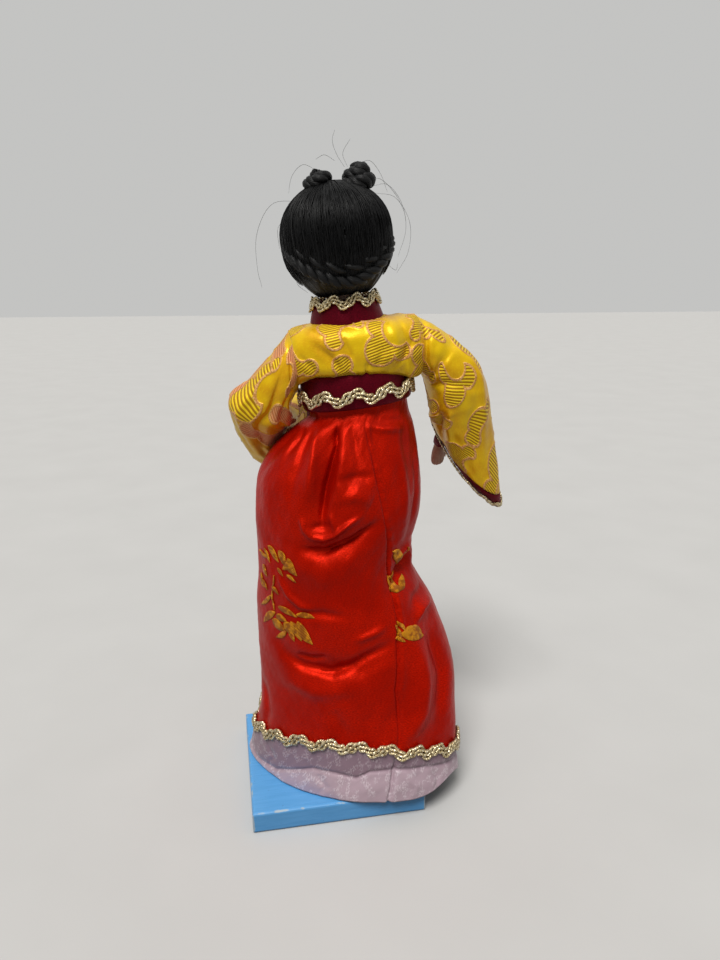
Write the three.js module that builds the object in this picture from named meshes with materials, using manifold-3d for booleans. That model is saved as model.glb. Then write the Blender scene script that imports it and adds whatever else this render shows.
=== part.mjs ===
// Silk doll in traditional dress, standing on a painted wooden block.
// Millimetres, +Z up. The origin is the centre of the block's underside.
// The doll faces -Y and its left side is +X.
import * as THREE from 'three';
import { mergeVertices } from 'three/addons/utils/BufferGeometryUtils.js';
import Module from 'manifold-3d';

const wasm = await Module();
wasm.setup();

// Clearance between neighbouring pieces, the running gap of a joint, and a length that clears any
// piece, for cutting tools
const gap = 0.3;
const runningGap = 0.45;
const clearOfAll = 80;

// Wooden block
const blockSide = 62;
const blockHeight = 8;
const blockEdge = 1;

// Where the doll stands on the block, and how far the upper body leans to its left
const standX = -12;
const waistHeight = 146;
const leanDegrees = 7.3;

// Legs: wires set in blind holes of the block, wrapped in padding
const legSpread = 12;
const legWireRadius = 1;
const legHoleDepth = 6;
const legWireInBody = 14;
const legWrapClearance = 2;
const ankleRadius = 3.4;
const thighRadius = 5.2;

// Stuffed body, in upper-body coordinates (z from the waist)
const bodyBottom = -26;
const bodyTop = 26;
const bodyHalfWidth = 15.6;
const bodyHalfDepth = 11.2;
const neckPostInBody = 12;

// Skirt: cloth thickness, how far it reaches up inside the waistband, hem clearance
const skirtCloth = 0.8;
const skirtInBand = 1.5;
const hemTurn = -30;
const skirtColumns = 40;
const gatherCount = 8;
const gatherDepth = 0.4;

// The joint of the skirt's two cloths runs level in front and rises across the back
const jointHeight = 11.4;
const jointRise = 7.8;
const jointRiseFrom = 20;
const jointRiseTo = 170;

// Waistband, collar and their gold braids
const bandHalfWidth = 19;
const bandHalfDepth = 14.5;
const bandHeight = 9;
const bandThickness = 1.4;
const bandBelly = 0.4;
const braidThickness = 0.9;
const braidSteps = 5;
const waistBraidPeriod = 9.6;
const waistBraidSwing = 1.4;
const waistBraidWidth = 4;
const hemBraidPeriod = 9.6;
const hemBraidSwing = 1.2;
const hemBraidWidth = 4.2;
const hemBraidLift = 0.15;
const collarBraidPeriod = 7;
const collarBraidSwing = 1.3;
const collarBraidWidth = 3.2;
const collarBraidLift = 0.35;
const collarBraidOverTop = 0.6;
const cuffBraidPeriod = 8;
const cuffBraidSwing = 0.9;
const cuffBraidWidth = 2.2;

const collarBottomHalfWidth = 12.7;
const collarBottomHalfDepth = 11.6;
const collarTopHalfWidth = 10.4;
const collarTopHalfDepth = 10;
const collarHeight = 7.6;
const collarThickness = 1.3;

// Jacket
const jacketHalfWidth = 21;
const jacketHalfDepth = 15.8;
const jacketCentreX = -1.5;
const jacketTop = 27;
const jacketNeckRadius = 8;
const jacketNeckDepth = 5;
const lapelWidth = 5;
const lapelThickness = 0.8;

// Ribbon tie in front
const ribbonWidth = 4.6;
const ribbonThickness = 0.8;
const ribbonX = 3;
const ribbonZ = 15;
const ribbonLongTail = 46;
const ribbonShortTail = 37;
const knotHalfWidth = 3.2;
const knotHalfDepth = 1.5;
const knotHalfHeight = 3;
const bowHalfLength = 6;
const bowHalfDepth = 1.9;

// Arms
const shoulderZ = 17.2;
const shoulderRadius = 9.4;
const shoulderInBody = 7;
const shoulderStraight = 3;
const upperArmRadius = 2.6;
const elbowNeckRadius = 1.6;
const elbowBallRadius = 3;
const forearmRadius = 2.5;
const forearmLength = 29;
const forearmSocket = 1.4;
const wristRadius = 1.8;
const handLength = 8.6;
const handWidth = 5.2;
const handThickness = 3.6;
const wristBandLength = 3.6;
const wristBandThickness = 0.7;
const wristBandFlare = 0.2;
const wristBandFromHand = 0.5;
const thumbRadius = 1;
const sleeveCloth = 0.9;
const sleeveColumns = 20;
const cuffShare = 0.12;

// Head, neck and hair, on the neck axis at x = 0 of the upper body
const headCentreZ = 53.9;
const headHalfWidth = 14.2;
const headHalfDepth = 14.6;
const headHalfHeight = 15.8;
const headForward = 2;
const neckRadius = 5.4;
const neckPostRadius = 1.5;
const neckPostInHead = 22;
const hairThickness = 3.3;
const crownHair = 1.3;
const hairLowest = 37.3;
const hairTop = headCentreZ + headHalfHeight + crownHair;
const hairWidestZ = 55;
const hairTaperDepth = 21;
const hairBack = 2;
const faceHalfWidth = 11.4;
const faceTop = 62;
const faceBottom = 31.8;
const faceOpeningBack = -4;
const bunRadius = 4.7;
const bunHeight = 7.2;
const leftBunSize = 0.95;
const rightBunSize = 1.06;
const bunSpread = 12.6;
const bunOffset = -2.6;
const bunSink = 2.2;
const bunRoot = 3;
const rollRadius = 2.6;
const combWidth = 7;
const combHeight = 4;
const combThickness = 1.2;
const combForward = 6.5;
const combSink = 2.4;

// Colours, roughness and metalness of the finishes
const finishes = {
  bluePaint: [0x5aa0d6, 0.5, 0],
  steelWire: [0x9a9a98, 0.4, 1],
  padding: [0xe6dccb, 0.9, 0],
  redSatin: [0xb5140a, 0.4, 0],
  lavenderSatin: [0xb9a3b8, 0.45, 0],
  maroonSatin: [0x5e0a18, 0.5, 0],
  goldBraid: [0xb99a5a, 0.4, 0.7],
  yellowBrocade: [0xf0cd0a, 0.5, 0],
  skin: [0xdcae92, 0.6, 0],
  hair: [0x141213, 0.6, 0],
};

function finish(name) {
  const [color, roughness, metalness] = finishes[name];
  return new THREE.MeshStandardMaterial({ color, roughness, metalness });
}

function point(x, y, z) {
  return new THREE.Vector3(x, y, z);
}

// Groups: the whole doll, and the upper body that leans at the waist
const doll = new THREE.Group();
const upper = new THREE.Group();
upper.position.set(standX, 0, waistHeight);
upper.rotation.y = THREE.MathUtils.degToRad(leanDegrees);
upper.updateMatrix();
doll.add(upper);
const upperToRow = upper.matrix.clone();
const rowToUpper = upperToRow.clone().invert();

function addPiece(group, name, geometry, finishName) {
  const piece = new THREE.Mesh(geometry, finish(finishName));
  piece.geometry.computeVertexNormals();
  piece.name = name;
  group.add(piece);
  return piece;
}

// Solids: every closed form is a grid of rows, each row a closed loop of points

// Signed volume, positive when the faces point out
function signedVolume(positions, index) {
  let sum = 0;
  const a = new THREE.Vector3();
  const b = new THREE.Vector3();
  const c = new THREE.Vector3();
  for (let i = 0; i < index.length; i += 3) {
    a.fromArray(positions, index[i] * 3);
    b.fromArray(positions, index[i + 1] * 3);
    c.fromArray(positions, index[i + 2] * 3);
    sum += a.dot(b.cross(c)) / 6;
  }
  return sum;
}

function buildGeometry(points, index) {
  const positions = points.flatMap((p) => p.toArray());
  if (signedVolume(positions, index) < 0) index.reverse();
  const geometry = new THREE.BufferGeometry();
  geometry.setAttribute('position', new THREE.Float32BufferAttribute(positions, 3));
  geometry.setIndex(index);
  return geometry;
}

// Faces between each row and the next; the last joins the first when the form is a ring
function rowFaces(rowCount, columns, closed) {
  const index = [];
  const steps = closed ? rowCount : rowCount - 1;
  for (let row = 0; row < steps; row += 1) {
    const next = (row + 1) % rowCount;
    for (let column = 0; column < columns; column += 1) {
      const right = (column + 1) % columns;
      const a = row * columns + column;
      const b = row * columns + right;
      const c = next * columns + right;
      const d = next * columns + column;
      index.push(a, b, c, a, c, d);
    }
  }
  return index;
}

function middle(points) {
  const sum = point(0, 0, 0);
  points.forEach((p) => sum.add(p));
  return sum.divideScalar(points.length);
}

// Solid lofted through rows, with a fan of faces closing each end
function loft(rows) {
  const columns = rows[0].length;
  const index = rowFaces(rows.length, columns, false);
  const points = rows.flat();
  const startTip = points.length;
  points.push(middle(rows[0]), middle(rows[rows.length - 1]));
  const lastRow = (rows.length - 1) * columns;
  for (let column = 0; column < columns; column += 1) {
    const right = (column + 1) % columns;
    index.push(startTip, right, column);
    index.push(startTip + 1, lastRow + column, lastRow + right);
  }
  return buildGeometry(points, index);
}

// Ring-shaped solid: rows go round the section of the ring and close on themselves
function ringSolid(rows) {
  return buildGeometry(rows.flat(), rowFaces(rows.length, rows[0].length, true));
}

// Open-ended shell between outer rows and inner rows of the same count
function shell(outerRows, innerRows) {
  return ringSolid([...outerRows, ...innerRows.slice().reverse()]);
}

// Closed loop of points: centre + cos * long + sin * short
function oval(centre, long, short, columns) {
  const loop = [];
  for (let i = 0; i < columns; i += 1) {
    const turn = (i / columns) * 2 * Math.PI;
    const p = centre.clone();
    p.addScaledVector(long, Math.cos(turn));
    p.addScaledVector(short, Math.sin(turn));
    loop.push(p);
  }
  return loop;
}

function flatOval(x, y, z, halfWidth, halfDepth, columns) {
  return oval(point(x, y, z), point(halfWidth, 0, 0), point(0, halfDepth, 0), columns);
}

// Tube of round section along a list of points, with a radius at each
function tube(path, radii, sides) {
  const rows = [];
  let side = null;
  path.forEach((here, i) => {
    const before = path[Math.max(i - 1, 0)];
    const after = path[Math.min(i + 1, path.length - 1)];
    const along = after.clone().sub(before).normalize();
    if (!side) side = Math.abs(along.z) < 0.9 ? point(0, 0, 1) : point(1, 0, 0);
    side = side.clone().addScaledVector(along, -side.dot(along)).normalize();
    const across = along.clone().cross(side);
    const radius = radii[i];
    rows.push(oval(here, side.clone().multiplyScalar(radius), across.multiplyScalar(radius), sides));
  });
  return loft(rows);
}

// Values between stations [share, value, value, ...] on a smooth curve
function between(stations, share) {
  const last = stations.length - 1;
  let i = 0;
  while (i < last - 1 && share > stations[i + 1][0]) i += 1;
  const start = stations[i];
  const end = stations[i + 1];
  const before = stations[Math.max(i - 1, 0)];
  const after = stations[Math.min(i + 2, last)];
  const step = end[0] - start[0];
  const u = Math.min(Math.max((share - start[0]) / step, 0), 1);
  return start.slice(1).map((value, k) => {
    const slopeStart = ((end[k + 1] - before[k + 1]) / (end[0] - before[0])) * step;
    const slopeEnd = ((after[k + 1] - value) / (after[0] - start[0])) * step;
    const cubic = 2 * u ** 3 - 3 * u ** 2;
    return (cubic + 1) * value + (u ** 3 - 2 * u ** 2 + u) * slopeStart
      - cubic * end[k + 1] + (u ** 3 - u ** 2) * slopeEnd;
  });
}

function spread(count, from, to) {
  return Array.from({ length: count }, (_, i) => from + ((to - from) * i) / (count - 1));
}

// Joins and cuts

function toSolid(geometry) {
  const plain = geometry.clone();
  plain.deleteAttribute('normal');
  plain.deleteAttribute('uv');
  const merged = mergeVertices(plain, 1e-4);
  const mesh = new wasm.Mesh({
    numProp: 3,
    vertProperties: merged.attributes.position.array,
    triVerts: new Uint32Array(merged.index.array),
  });
  return new wasm.Manifold(mesh);
}

function toGeometry(solid) {
  const mesh = solid.getMesh();
  const geometry = new THREE.BufferGeometry();
  geometry.setAttribute('position', new THREE.Float32BufferAttribute(mesh.vertProperties, 3));
  geometry.setIndex(Array.from(mesh.triVerts));
  return geometry;
}

function cut(body, ...cutters) {
  let solid = toSolid(body);
  cutters.forEach((cutter) => {
    solid = solid.subtract(toSolid(cutter));
  });
  return toGeometry(solid);
}

function join(...parts) {
  let solid = toSolid(parts[0]);
  parts.slice(1).forEach((part) => {
    solid = solid.add(toSolid(part));
  });
  return toGeometry(solid);
}

function cylinderAlongZ(radius, from, to, sides, x = 0, y = 0) {
  const geometry = new THREE.CylinderGeometry(radius, radius, to - from, sides);
  geometry.rotateX(Math.PI / 2);
  geometry.translate(x, y, (from + to) / 2);
  return geometry;
}

function cylinderAlongX(radius, from, to, sides, z) {
  const geometry = new THREE.CylinderGeometry(radius, radius, Math.abs(to - from), sides);
  geometry.rotateZ(Math.PI / 2);
  geometry.translate((from + to) / 2, 0, z);
  return geometry;
}

function everythingBelow(z) {
  const block = new THREE.BoxGeometry(clearOfAll, clearOfAll, clearOfAll);
  block.translate(0, 0, z - clearOfAll / 2);
  return block;
}

function ball(radius, centre, sides = 16) {
  const geometry = new THREE.SphereGeometry(radius, sides, sides / 2);
  geometry.translate(centre.x, centre.y, centre.z);
  return geometry;
}

// Block with eased edges and two blind holes for the leg wires
function baseBlock() {
  const half = blockSide / 2 - blockEdge;
  const outline = new THREE.Shape();
  outline.moveTo(-half, -half);
  outline.lineTo(half, -half);
  outline.lineTo(half, half);
  outline.lineTo(-half, half);
  outline.closePath();
  const geometry = new THREE.ExtrudeGeometry(outline, {
    depth: blockHeight - 2 * blockEdge,
    bevelEnabled: true,
    bevelThickness: blockEdge,
    bevelSize: blockEdge,
    bevelSegments: 3,
    curveSegments: 4,
  });
  geometry.translate(0, 0, blockEdge);
  const holes = legXs().map((x) => cylinderAlongZ(
    legWireRadius + gap, blockHeight - legHoleDepth, blockHeight + 1, 16, x,
  ));
  return cut(geometry, ...holes);
}

function legXs() {
  return [standX + legSpread / 2, standX - legSpread / 2];
}

// Height at which a leg wire enters the leaning body
function bodyUnderside(x) {
  const lean = THREE.MathUtils.degToRad(leanDegrees);
  return waistHeight + bodyBottom * Math.cos(lean) - (x - standX) * Math.sin(lean);
}

function legWire(x, extra = 0) {
  const bottom = blockHeight - legHoleDepth + gap - extra;
  const top = bodyUnderside(x) + legWireInBody + extra;
  return cylinderAlongZ(legWireRadius + extra, bottom, top, 12, x);
}

// Padding wound round a leg: thin at the ankle, thicker at the thigh
function legWrap(x) {
  const bottom = blockHeight + legWrapClearance;
  const top = bodyUnderside(x) - thighRadius * Math.sin(THREE.MathUtils.degToRad(leanDegrees)) - 1;
  const bore = legWireRadius + gap;
  const profile = [
    [bore, bottom], [ankleRadius, bottom], [ankleRadius * 1.15, bottom + (top - bottom) * 0.3],
    [thighRadius * 0.85, bottom + (top - bottom) * 0.6], [thighRadius, top], [bore, top], [bore, bottom],
  ].map(([r, z]) => new THREE.Vector2(r, z));
  const geometry = new THREE.LatheGeometry(profile, 16);
  geometry.rotateX(Math.PI / 2);
  geometry.translate(x, 0, 0);
  return geometry;
}

// Stuffed body: ovals from the hips to the neck, grown by a clearance for what fits round it
function bodyRows(grow) {
  const stations = [
    [0, 0.76, 0.86], [0.1, 0.94, 0.98], [0.5, 1, 1], [0.84, 1, 1], [0.95, 0.8, 0.84], [1, 0.58, 0.66],
  ];
  return stations.map(([share, wide, deep]) => {
    const ends = share === 0 ? -grow : 0;
    const z = bodyBottom + (bodyTop - bodyBottom) * share + (share === 1 ? grow : ends);
    return flatOval(0, 0, z, bodyHalfWidth * wide + grow, bodyHalfDepth * deep + grow, 24);
  });
}

function torsoCore() {
  const wires = legXs().map((x) => legWire(x, gap).applyMatrix4(rowToUpper));
  const post = cylinderAlongZ(neckPostRadius + gap, bodyTop - neckPostInBody, bodyTop + 1, 12);
  return cut(loft(bodyRows(0)), ...wires, post, armBore(1), armBore(-1));
}

function neckPost() {
  return cylinderAlongZ(
    neckPostRadius, bodyTop - neckPostInBody + gap, bodyTop + neckPostInHead, 12,
  );
}

// Skirt

const skirtBottom = blockHeight + gap;
const skirtTop = waistHeight + skirtInBand;
const bandInnerHalfWidth = bandHalfWidth - bandThickness;
const bandInnerHalfDepth = bandHalfDepth - bandThickness;

// Shares of the height where the skirt draws in under the waistband, then runs up inside it
const hipShare = 0.92;
const drawnInShare = 0.95;
const insideBandShare = 0.972;

// Share of the height, offset of the centre from the standing line, half width, half depth
const skirtStations = [
  [0, 2.5, 43, 30],
  [0.16, 0.8, 39.4, 28.8],
  [0.3, 1.2, 37.4, 27.2],
  [0.45, 4.8, 32.9, 25],
  [0.59, 8.9, 27.6, 23.5],
  [0.72, 7.2, 29.4, 24],
  [0.82, 6.3, 28.4, 22.2],
  [hipShare, 3, 22.8, 17],
  [drawnInShare, 1.6, 20, 15],
  [insideBandShare, -0.5, bandInnerHalfWidth - gap, bandInnerHalfDepth - gap],
  [1, 0, bandInnerHalfWidth - gap, bandInnerHalfDepth - gap],
];

// Heights of the rows of the red cloth between its joint and the hips: some follow the main folds
const skirtRowHeights = [34, 47, 57, 65, 77, 89, 99, 107, 117, 127];

// Main folds: rise over the cloth, which is negative for a valley, half width, and the places it
// passes, each a direction round the skirt in degrees and a height
const mmPerDegree = 0.55;
const skirtFolds = [
  [-2.2, 4.5, [62, 150], [70, 136], [74, 124], [74, 113], [77, 103]],
  [1.2, 4.5, [48, 148], [60, 131], [67, 114]],
  [-1.5, 4, [5, 149], [15, 137], [10, 122]],
  [-1.8, 4, [56, 102], [80, 99], [98, 102], [118, 110]],
  [1, 4.5, [58, 94], [85, 91], [108, 98]],
  [-1.7, 4, [42, 66], [60, 58], [98, 57], [124, 67]],
  [-2.2, 4, [186, 94], [147, 89], [128, 82]],
  [1.4, 4.5, [131, 72], [136, 50], [124, 20]],
  [-1.7, 5, [152, 74], [153, 50], [147, 28]],
  [-2, 6.5, [213, 9], [217, 122]],
  [-2.2, 6, [260, 9], [264, 128]],
  [-2, 6.5, [307, 9], [303, 122]],
  [-1.4, 6.5, [350, 40], [350, 110]],
  [-3.4, 8, [6, -30], [10, 58]],
  [-3.6, 8, [198, -30], [194, 54]],
];

// Distance from a path on the skirt, and the share of the path's length where it passes nearest
function nearestOnPath(path, degrees, height) {
  const flat = path.map(([direction, z]) => new THREE.Vector2(direction * mmPerDegree, z));
  const around = ((degrees - path[0][0] + 540) % 360) - 180 + path[0][0];
  const place = new THREE.Vector2(around * mmPerDegree, height);
  const lengths = flat.slice(1).map((p, i) => p.distanceTo(flat[i]));
  const total = lengths.reduce((sum, length) => sum + length, 0);
  let nearest = { away: Infinity, share: 0 };
  let run = 0;
  lengths.forEach((length, i) => {
    const along = flat[i + 1].clone().sub(flat[i]).divideScalar(length);
    const t = Math.min(Math.max(place.clone().sub(flat[i]).dot(along), 0), length);
    const away = place.distanceTo(flat[i].clone().addScaledVector(along, t));
    if (away < nearest.away) nearest = { away, share: (run + t) / total };
    run += length;
  });
  return nearest;
}

// Each fold is a bell across its path and fades out at both ends
function foldDepth(degrees, share) {
  const height = skirtBottom + (skirtTop - skirtBottom) * share;
  let depth = 0;
  skirtFolds.forEach(([rise, width, ...path]) => {
    const nearest = nearestOnPath(path, degrees, height);
    const fade = Math.sin(Math.PI * nearest.share) ** 0.7;
    depth -= rise * fade * Math.exp(-((nearest.away / width) ** 2));
  });
  depth *= 1 - THREE.MathUtils.smoothstep(share, hipShare, insideBandShare);
  const gathered = Math.max(0, 1 - Math.abs(share - hipShare) / (1 - hipShare));
  return depth + gatherDepth * gathered * (1 + Math.cos((degrees * Math.PI * gatherCount) / 180));
}

// Point on the skirt, sunk by a depth under its outer face; height is in the row's frame
function skirtPoint(turn, share, depth) {
  const [offset, halfWidth, halfDepth] = between(skirtStations, share);
  const twist = THREE.MathUtils.degToRad(hemTurn * Math.max(0, 1 - share) ** 1.5);
  const lean = THREE.MathUtils.degToRad(leanDegrees) * THREE.MathUtils.smoothstep(share, 0.86, 0.97);
  const degrees = THREE.MathUtils.radToDeg(turn) + 720;
  const sink = depth + foldDepth(degrees % 360, share);
  const p = point((halfWidth - sink) * Math.cos(turn), (halfDepth - sink) * Math.sin(turn), 0);
  p.applyAxisAngle(point(0, 0, 1), twist);
  p.applyAxisAngle(point(0, 1, 0), lean);
  p.x += standX + offset + skirtInBand * Math.sin(lean);
  p.z += skirtBottom + (skirtTop - skirtBottom) * share;
  return p;
}

function skirtShareAt(z) {
  return (z - skirtBottom) / (skirtTop - skirtBottom);
}

// Share of the height where the two cloths meet, in a direction round the skirt
function jointShare(turn) {
  const degrees = (THREE.MathUtils.radToDeg(turn) + 720) % 360;
  const across = (degrees - jointRiseFrom) / (jointRiseTo - jointRiseFrom);
  const rise = across > 0 && across < 1 ? Math.sin(Math.PI * across) ** 1.3 : 0;
  return skirtShareAt(blockHeight + jointHeight + jointRise * rise);
}

// Open shell through rows, each given by its share of the height in a direction
function skirtShell(rows) {
  const wall = (depth) => rows.map((shareAt) => spread(skirtColumns + 1, 0, 2 * Math.PI).slice(0, -1)
    .map((turn) => skirtPoint(turn, shareAt(turn), depth)));
  return shell(wall(0), wall(skirtCloth));
}

function redSkirt() {
  const heights = skirtRowHeights.map((z) => skirtShareAt(z));
  const levels = [...heights, hipShare, drawnInShare, insideBandShare, 1];
  return skirtShell([
    (turn) => jointShare(turn) + gap / (skirtTop - skirtBottom), ...levels.map((share) => () => share),
  ]);
}

function hemBand() {
  return skirtShell([() => 0, (turn) => jointShare(turn) / 2, jointShare]);
}

// Wavy braid: a flat strand that swings up and down along a closed loop
function wavyBraid(loopPoint, length, period, swing, width) {
  const waves = Math.max(3, Math.round(length / period));
  const steps = waves * braidSteps;
  const rows = [[], [], [], []];
  for (let i = 0; i < steps; i += 1) {
    const turn = (i / steps) * 2 * Math.PI;
    const { place, out, up } = loopPoint(turn);
    const swingHere = -swing * Math.cos(turn * waves);
    [[gap, -1], [gap + braidThickness, -1], [gap + braidThickness, 1], [gap, 1]]
      .forEach(([proud, edge], k) => {
        const p = place.clone().addScaledVector(out, proud);
        p.addScaledVector(up, swingHere + (edge * width) / 2);
        rows[k].push(p);
      });
  }
  return ringSolid(rows);
}

function ovalLength(halfWidth, halfDepth) {
  const mean = (halfWidth + halfDepth) / 2;
  const skew = ((halfWidth - halfDepth) / (halfWidth + halfDepth)) ** 2;
  return 2 * Math.PI * mean * (1 + skew / 4);
}

function hemBraid() {
  const raised = hemBraidSwing / (skirtTop - skirtBottom);
  const [, halfWidth, halfDepth] = between(skirtStations, jointShare(0));
  return wavyBraid((turn) => {
    const at = (angle, above) => skirtPoint(angle, jointShare(angle) + raised + above, -hemBraidLift);
    const place = at(turn, 0);
    const up = at(turn, 0.01).sub(place).normalize();
    const out = at(turn + 0.02, 0).sub(place).cross(up).normalize();
    return { place, out, up };
  }, ovalLength(halfWidth, halfDepth), hemBraidPeriod, hemBraidSwing, hemBraidWidth);
}

// Ring that follows an oval, from a bottom size to a top size
function ovalBand(bottom, top, halfBottom, halfTop, thickness, belly, columns) {
  const rowsAt = (sink, bellyHere) => [0, 0.5, 1].map((share) => {
    const swell = bellyHere * (1 - (2 * share - 1) ** 2) - sink;
    const wide = halfBottom[0] + (halfTop[0] - halfBottom[0]) * share + swell;
    const deep = halfBottom[1] + (halfTop[1] - halfBottom[1]) * share + swell;
    return flatOval(0, 0, bottom + (top - bottom) * share, wide, deep, columns);
  });
  return shell(rowsAt(0, belly), rowsAt(thickness, 0));
}

function waistband() {
  const half = [bandHalfWidth, bandHalfDepth];
  return ovalBand(0, bandHeight, half, half, bandThickness, bandBelly, 32);
}

function waistBraid() {
  const wide = bandHalfWidth + bandBelly;
  const deep = bandHalfDepth + bandBelly;
  return wavyBraid((turn) => {
    const place = point(wide * Math.cos(turn), deep * Math.sin(turn), bandHeight / 2);
    const out = point(Math.cos(turn) * bandHalfDepth, Math.sin(turn) * bandHalfWidth, 0).normalize();
    return { place, out, up: point(0, 0, 1) };
  }, ovalLength(bandHalfWidth, bandHalfDepth), waistBraidPeriod, waistBraidSwing, waistBraidWidth);
}

// Jacket body: share of the height, half width and half depth as shares of the widest
const jacketStations = [
  [0, 0.94, 0.9], [0.15, 1, 0.98], [0.45, 1, 1], [0.72, 0.93, 0.94], [0.92, 0.76, 0.8], [1, 0.63, 0.73],
];
const jacketBottom = bandHeight + gap;

function jacketOval(share) {
  const [wide, deep] = between(jacketStations, share);
  const x = jacketCentreX * (1 - share);
  const z = jacketBottom + (jacketTop - jacketBottom) * share;
  return { x, z, halfWidth: jacketHalfWidth * wide, halfDepth: jacketHalfDepth * deep };
}

function jacketEnd(side) {
  return jacketCentreX + side * jacketHalfWidth;
}

function shoulderStub(side) {
  return cylinderAlongX(shoulderRadius, 0, jacketEnd(side), 24, shoulderZ);
}

function armBore(side) {
  const radius = upperArmRadius + runningGap;
  return cylinderAlongX(radius, side * shoulderInBody, side * clearOfAll, 20, shoulderZ);
}

function jacketBodice() {
  const rows = jacketStations.map(([share]) => {
    const { x, z, halfWidth, halfDepth } = jacketOval(share);
    return flatOval(x, 0, z, halfWidth, halfDepth, 24);
  });
  const outer = join(loft(rows), shoulderStub(1), shoulderStub(-1));
  const neckHole = cylinderAlongZ(jacketNeckRadius, jacketTop - jacketNeckDepth, clearOfAll, 24);
  return cut(outer, everythingBelow(jacketBottom), loft(bodyRows(gap)), neckHole, armBore(1), armBore(-1));
}

// Point of the jacket's front at a height, a little proud of the cloth
function jacketFront(x, z, proud) {
  const share = (z - jacketBottom) / (jacketTop - jacketBottom);
  const front = jacketOval(share);
  const across = (x - front.x) / (front.halfWidth + proud);
  return point(x, -(front.halfDepth + proud) * Math.sqrt(Math.max(0, 1 - across ** 2)), z);
}

// Crossed front bands: each runs from beside the neck down across the front, and the right one
// stops where the left one passes over it
const lapelTop = { x: 8.5, z: 24.6 };
const lapelFoot = { x: -5, z: 12 };

function lapel(from, to) {
  const heading = new THREE.Vector2(to.x - from.x, to.z - from.z).normalize();
  const corners = [[-1, 0], [0, 0], [1, 0], [1, 1], [0, 1], [-1, 1]];
  const rows = spread(5, 0, 1).map((share) => corners.map(([edge, lift]) => {
    const shift = (edge * lapelWidth) / 2;
    const x = from.x + (to.x - from.x) * share + heading.y * shift;
    const z = from.z + (to.z - from.z) * share - heading.x * shift;
    return jacketFront(x, z, gap + lift * lapelThickness);
  }));
  return loft(rows);
}

// Foot of the right band, a clearance short of the left band's edge
function rightLapelFoot() {
  const left = new THREE.Vector2(lapelFoot.x - lapelTop.x, lapelFoot.z - lapelTop.z).normalize();
  const right = new THREE.Vector2(-left.x, left.y);
  const away = (x, z) => Math.abs((x - lapelTop.x) * left.y - (z - lapelTop.z) * left.x);
  const closing = away(-lapelTop.x, lapelTop.z) - away(-lapelTop.x + right.x, lapelTop.z + right.y);
  const length = (away(-lapelTop.x, lapelTop.z) - lapelWidth / 2 - gap) / closing;
  return { x: -lapelTop.x + right.x * length, z: lapelTop.z + right.y * length };
}

// Standing collar, slightly narrower at the top
const collarBottom = jacketTop + gap;
const collarTop = collarBottom + collarHeight;

function collarBand() {
  return ovalBand(
    collarBottom, collarTop, [collarBottomHalfWidth, collarBottomHalfDepth],
    [collarTopHalfWidth, collarTopHalfDepth], collarThickness, 0, 28,
  );
}

function collarBraid() {
  const top = collarTop - collarBraidWidth / 2 + collarBraidOverTop;
  const wide = collarTopHalfWidth + collarBraidLift;
  const deep = collarTopHalfDepth + collarBraidLift;
  return wavyBraid((turn) => {
    const place = point(wide * Math.cos(turn), deep * Math.sin(turn), top);
    const out = point(Math.cos(turn) * deep, Math.sin(turn) * wide, 0).normalize();
    const lean = (collarBottomHalfWidth - collarTopHalfWidth) / collarHeight;
    const up = point(0, 0, 1).addScaledVector(out, -lean).normalize();
    return { place, out, up };
  }, ovalLength(wide, deep), collarBraidPeriod, collarBraidSwing, collarBraidWidth);
}

// Ribbon tie: a flat strip along a path, with its width across X
function strip(path, width, thickness) {
  const rows = path.map((here, i) => {
    const before = path[Math.max(i - 1, 0)];
    const after = path[Math.min(i + 1, path.length - 1)];
    const along = after.clone().sub(before).normalize();
    const across = point(1, 0, 0).addScaledVector(along, -along.x).normalize();
    const face = along.clone().cross(across).normalize();
    return [[-1, -1], [1, -1], [1, 1], [-1, 1]].map(([edge, side]) => here.clone()
      .addScaledVector(across, (edge * width) / 2)
      .addScaledVector(face, (side * thickness) / 2));
  });
  return loft(rows);
}

function rowPointInUpper(x, y, z) {
  return point(x, y, z).applyMatrix4(rowToUpper);
}

// A tail hangs from the knot over the waistband and down the front of the skirt
function ribbonTail(x, length, spreadX) {
  const clear = 2 * gap + ribbonThickness / 2;
  const bandFront = bandHalfDepth + bandBelly + gap + braidThickness + clear;
  const path = [point(x, knotY(), ribbonZ)];
  path.push(point(x + spreadX * 0.2, -bandFront, bandHeight - 1));
  path.push(point(x + spreadX * 0.3, -bandFront, 1));
  const start = -5;
  const end = ribbonZ - length;
  spread(4, start, end).forEach((z) => {
    const share = (z - start) / (end - start);
    path.push(skirtFront(x + spreadX * (0.3 + 0.7 * share), z, clear + gap));
  });
  return strip(path, ribbonWidth, ribbonThickness);
}

// The knot rests on the crossed front bands
function knotY() {
  return jacketFront(ribbonX, ribbonZ, 2 * (gap + lapelThickness) + knotHalfDepth).y;
}

// Front of the skirt seen from the upper body, proud of the cloth
function skirtFront(x, z, proud) {
  const goal = point(x, 0, z).applyMatrix4(upperToRow);
  const share = skirtShareAt(goal.z);
  const [offset, halfWidth, halfDepth] = between(skirtStations, Math.min(share, 1));
  const across = (goal.x - standX - offset) / (halfWidth + proud);
  const y = -(halfDepth + proud) * Math.sqrt(Math.max(0, 1 - across ** 2));
  return rowPointInUpper(goal.x, y, goal.z);
}

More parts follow.
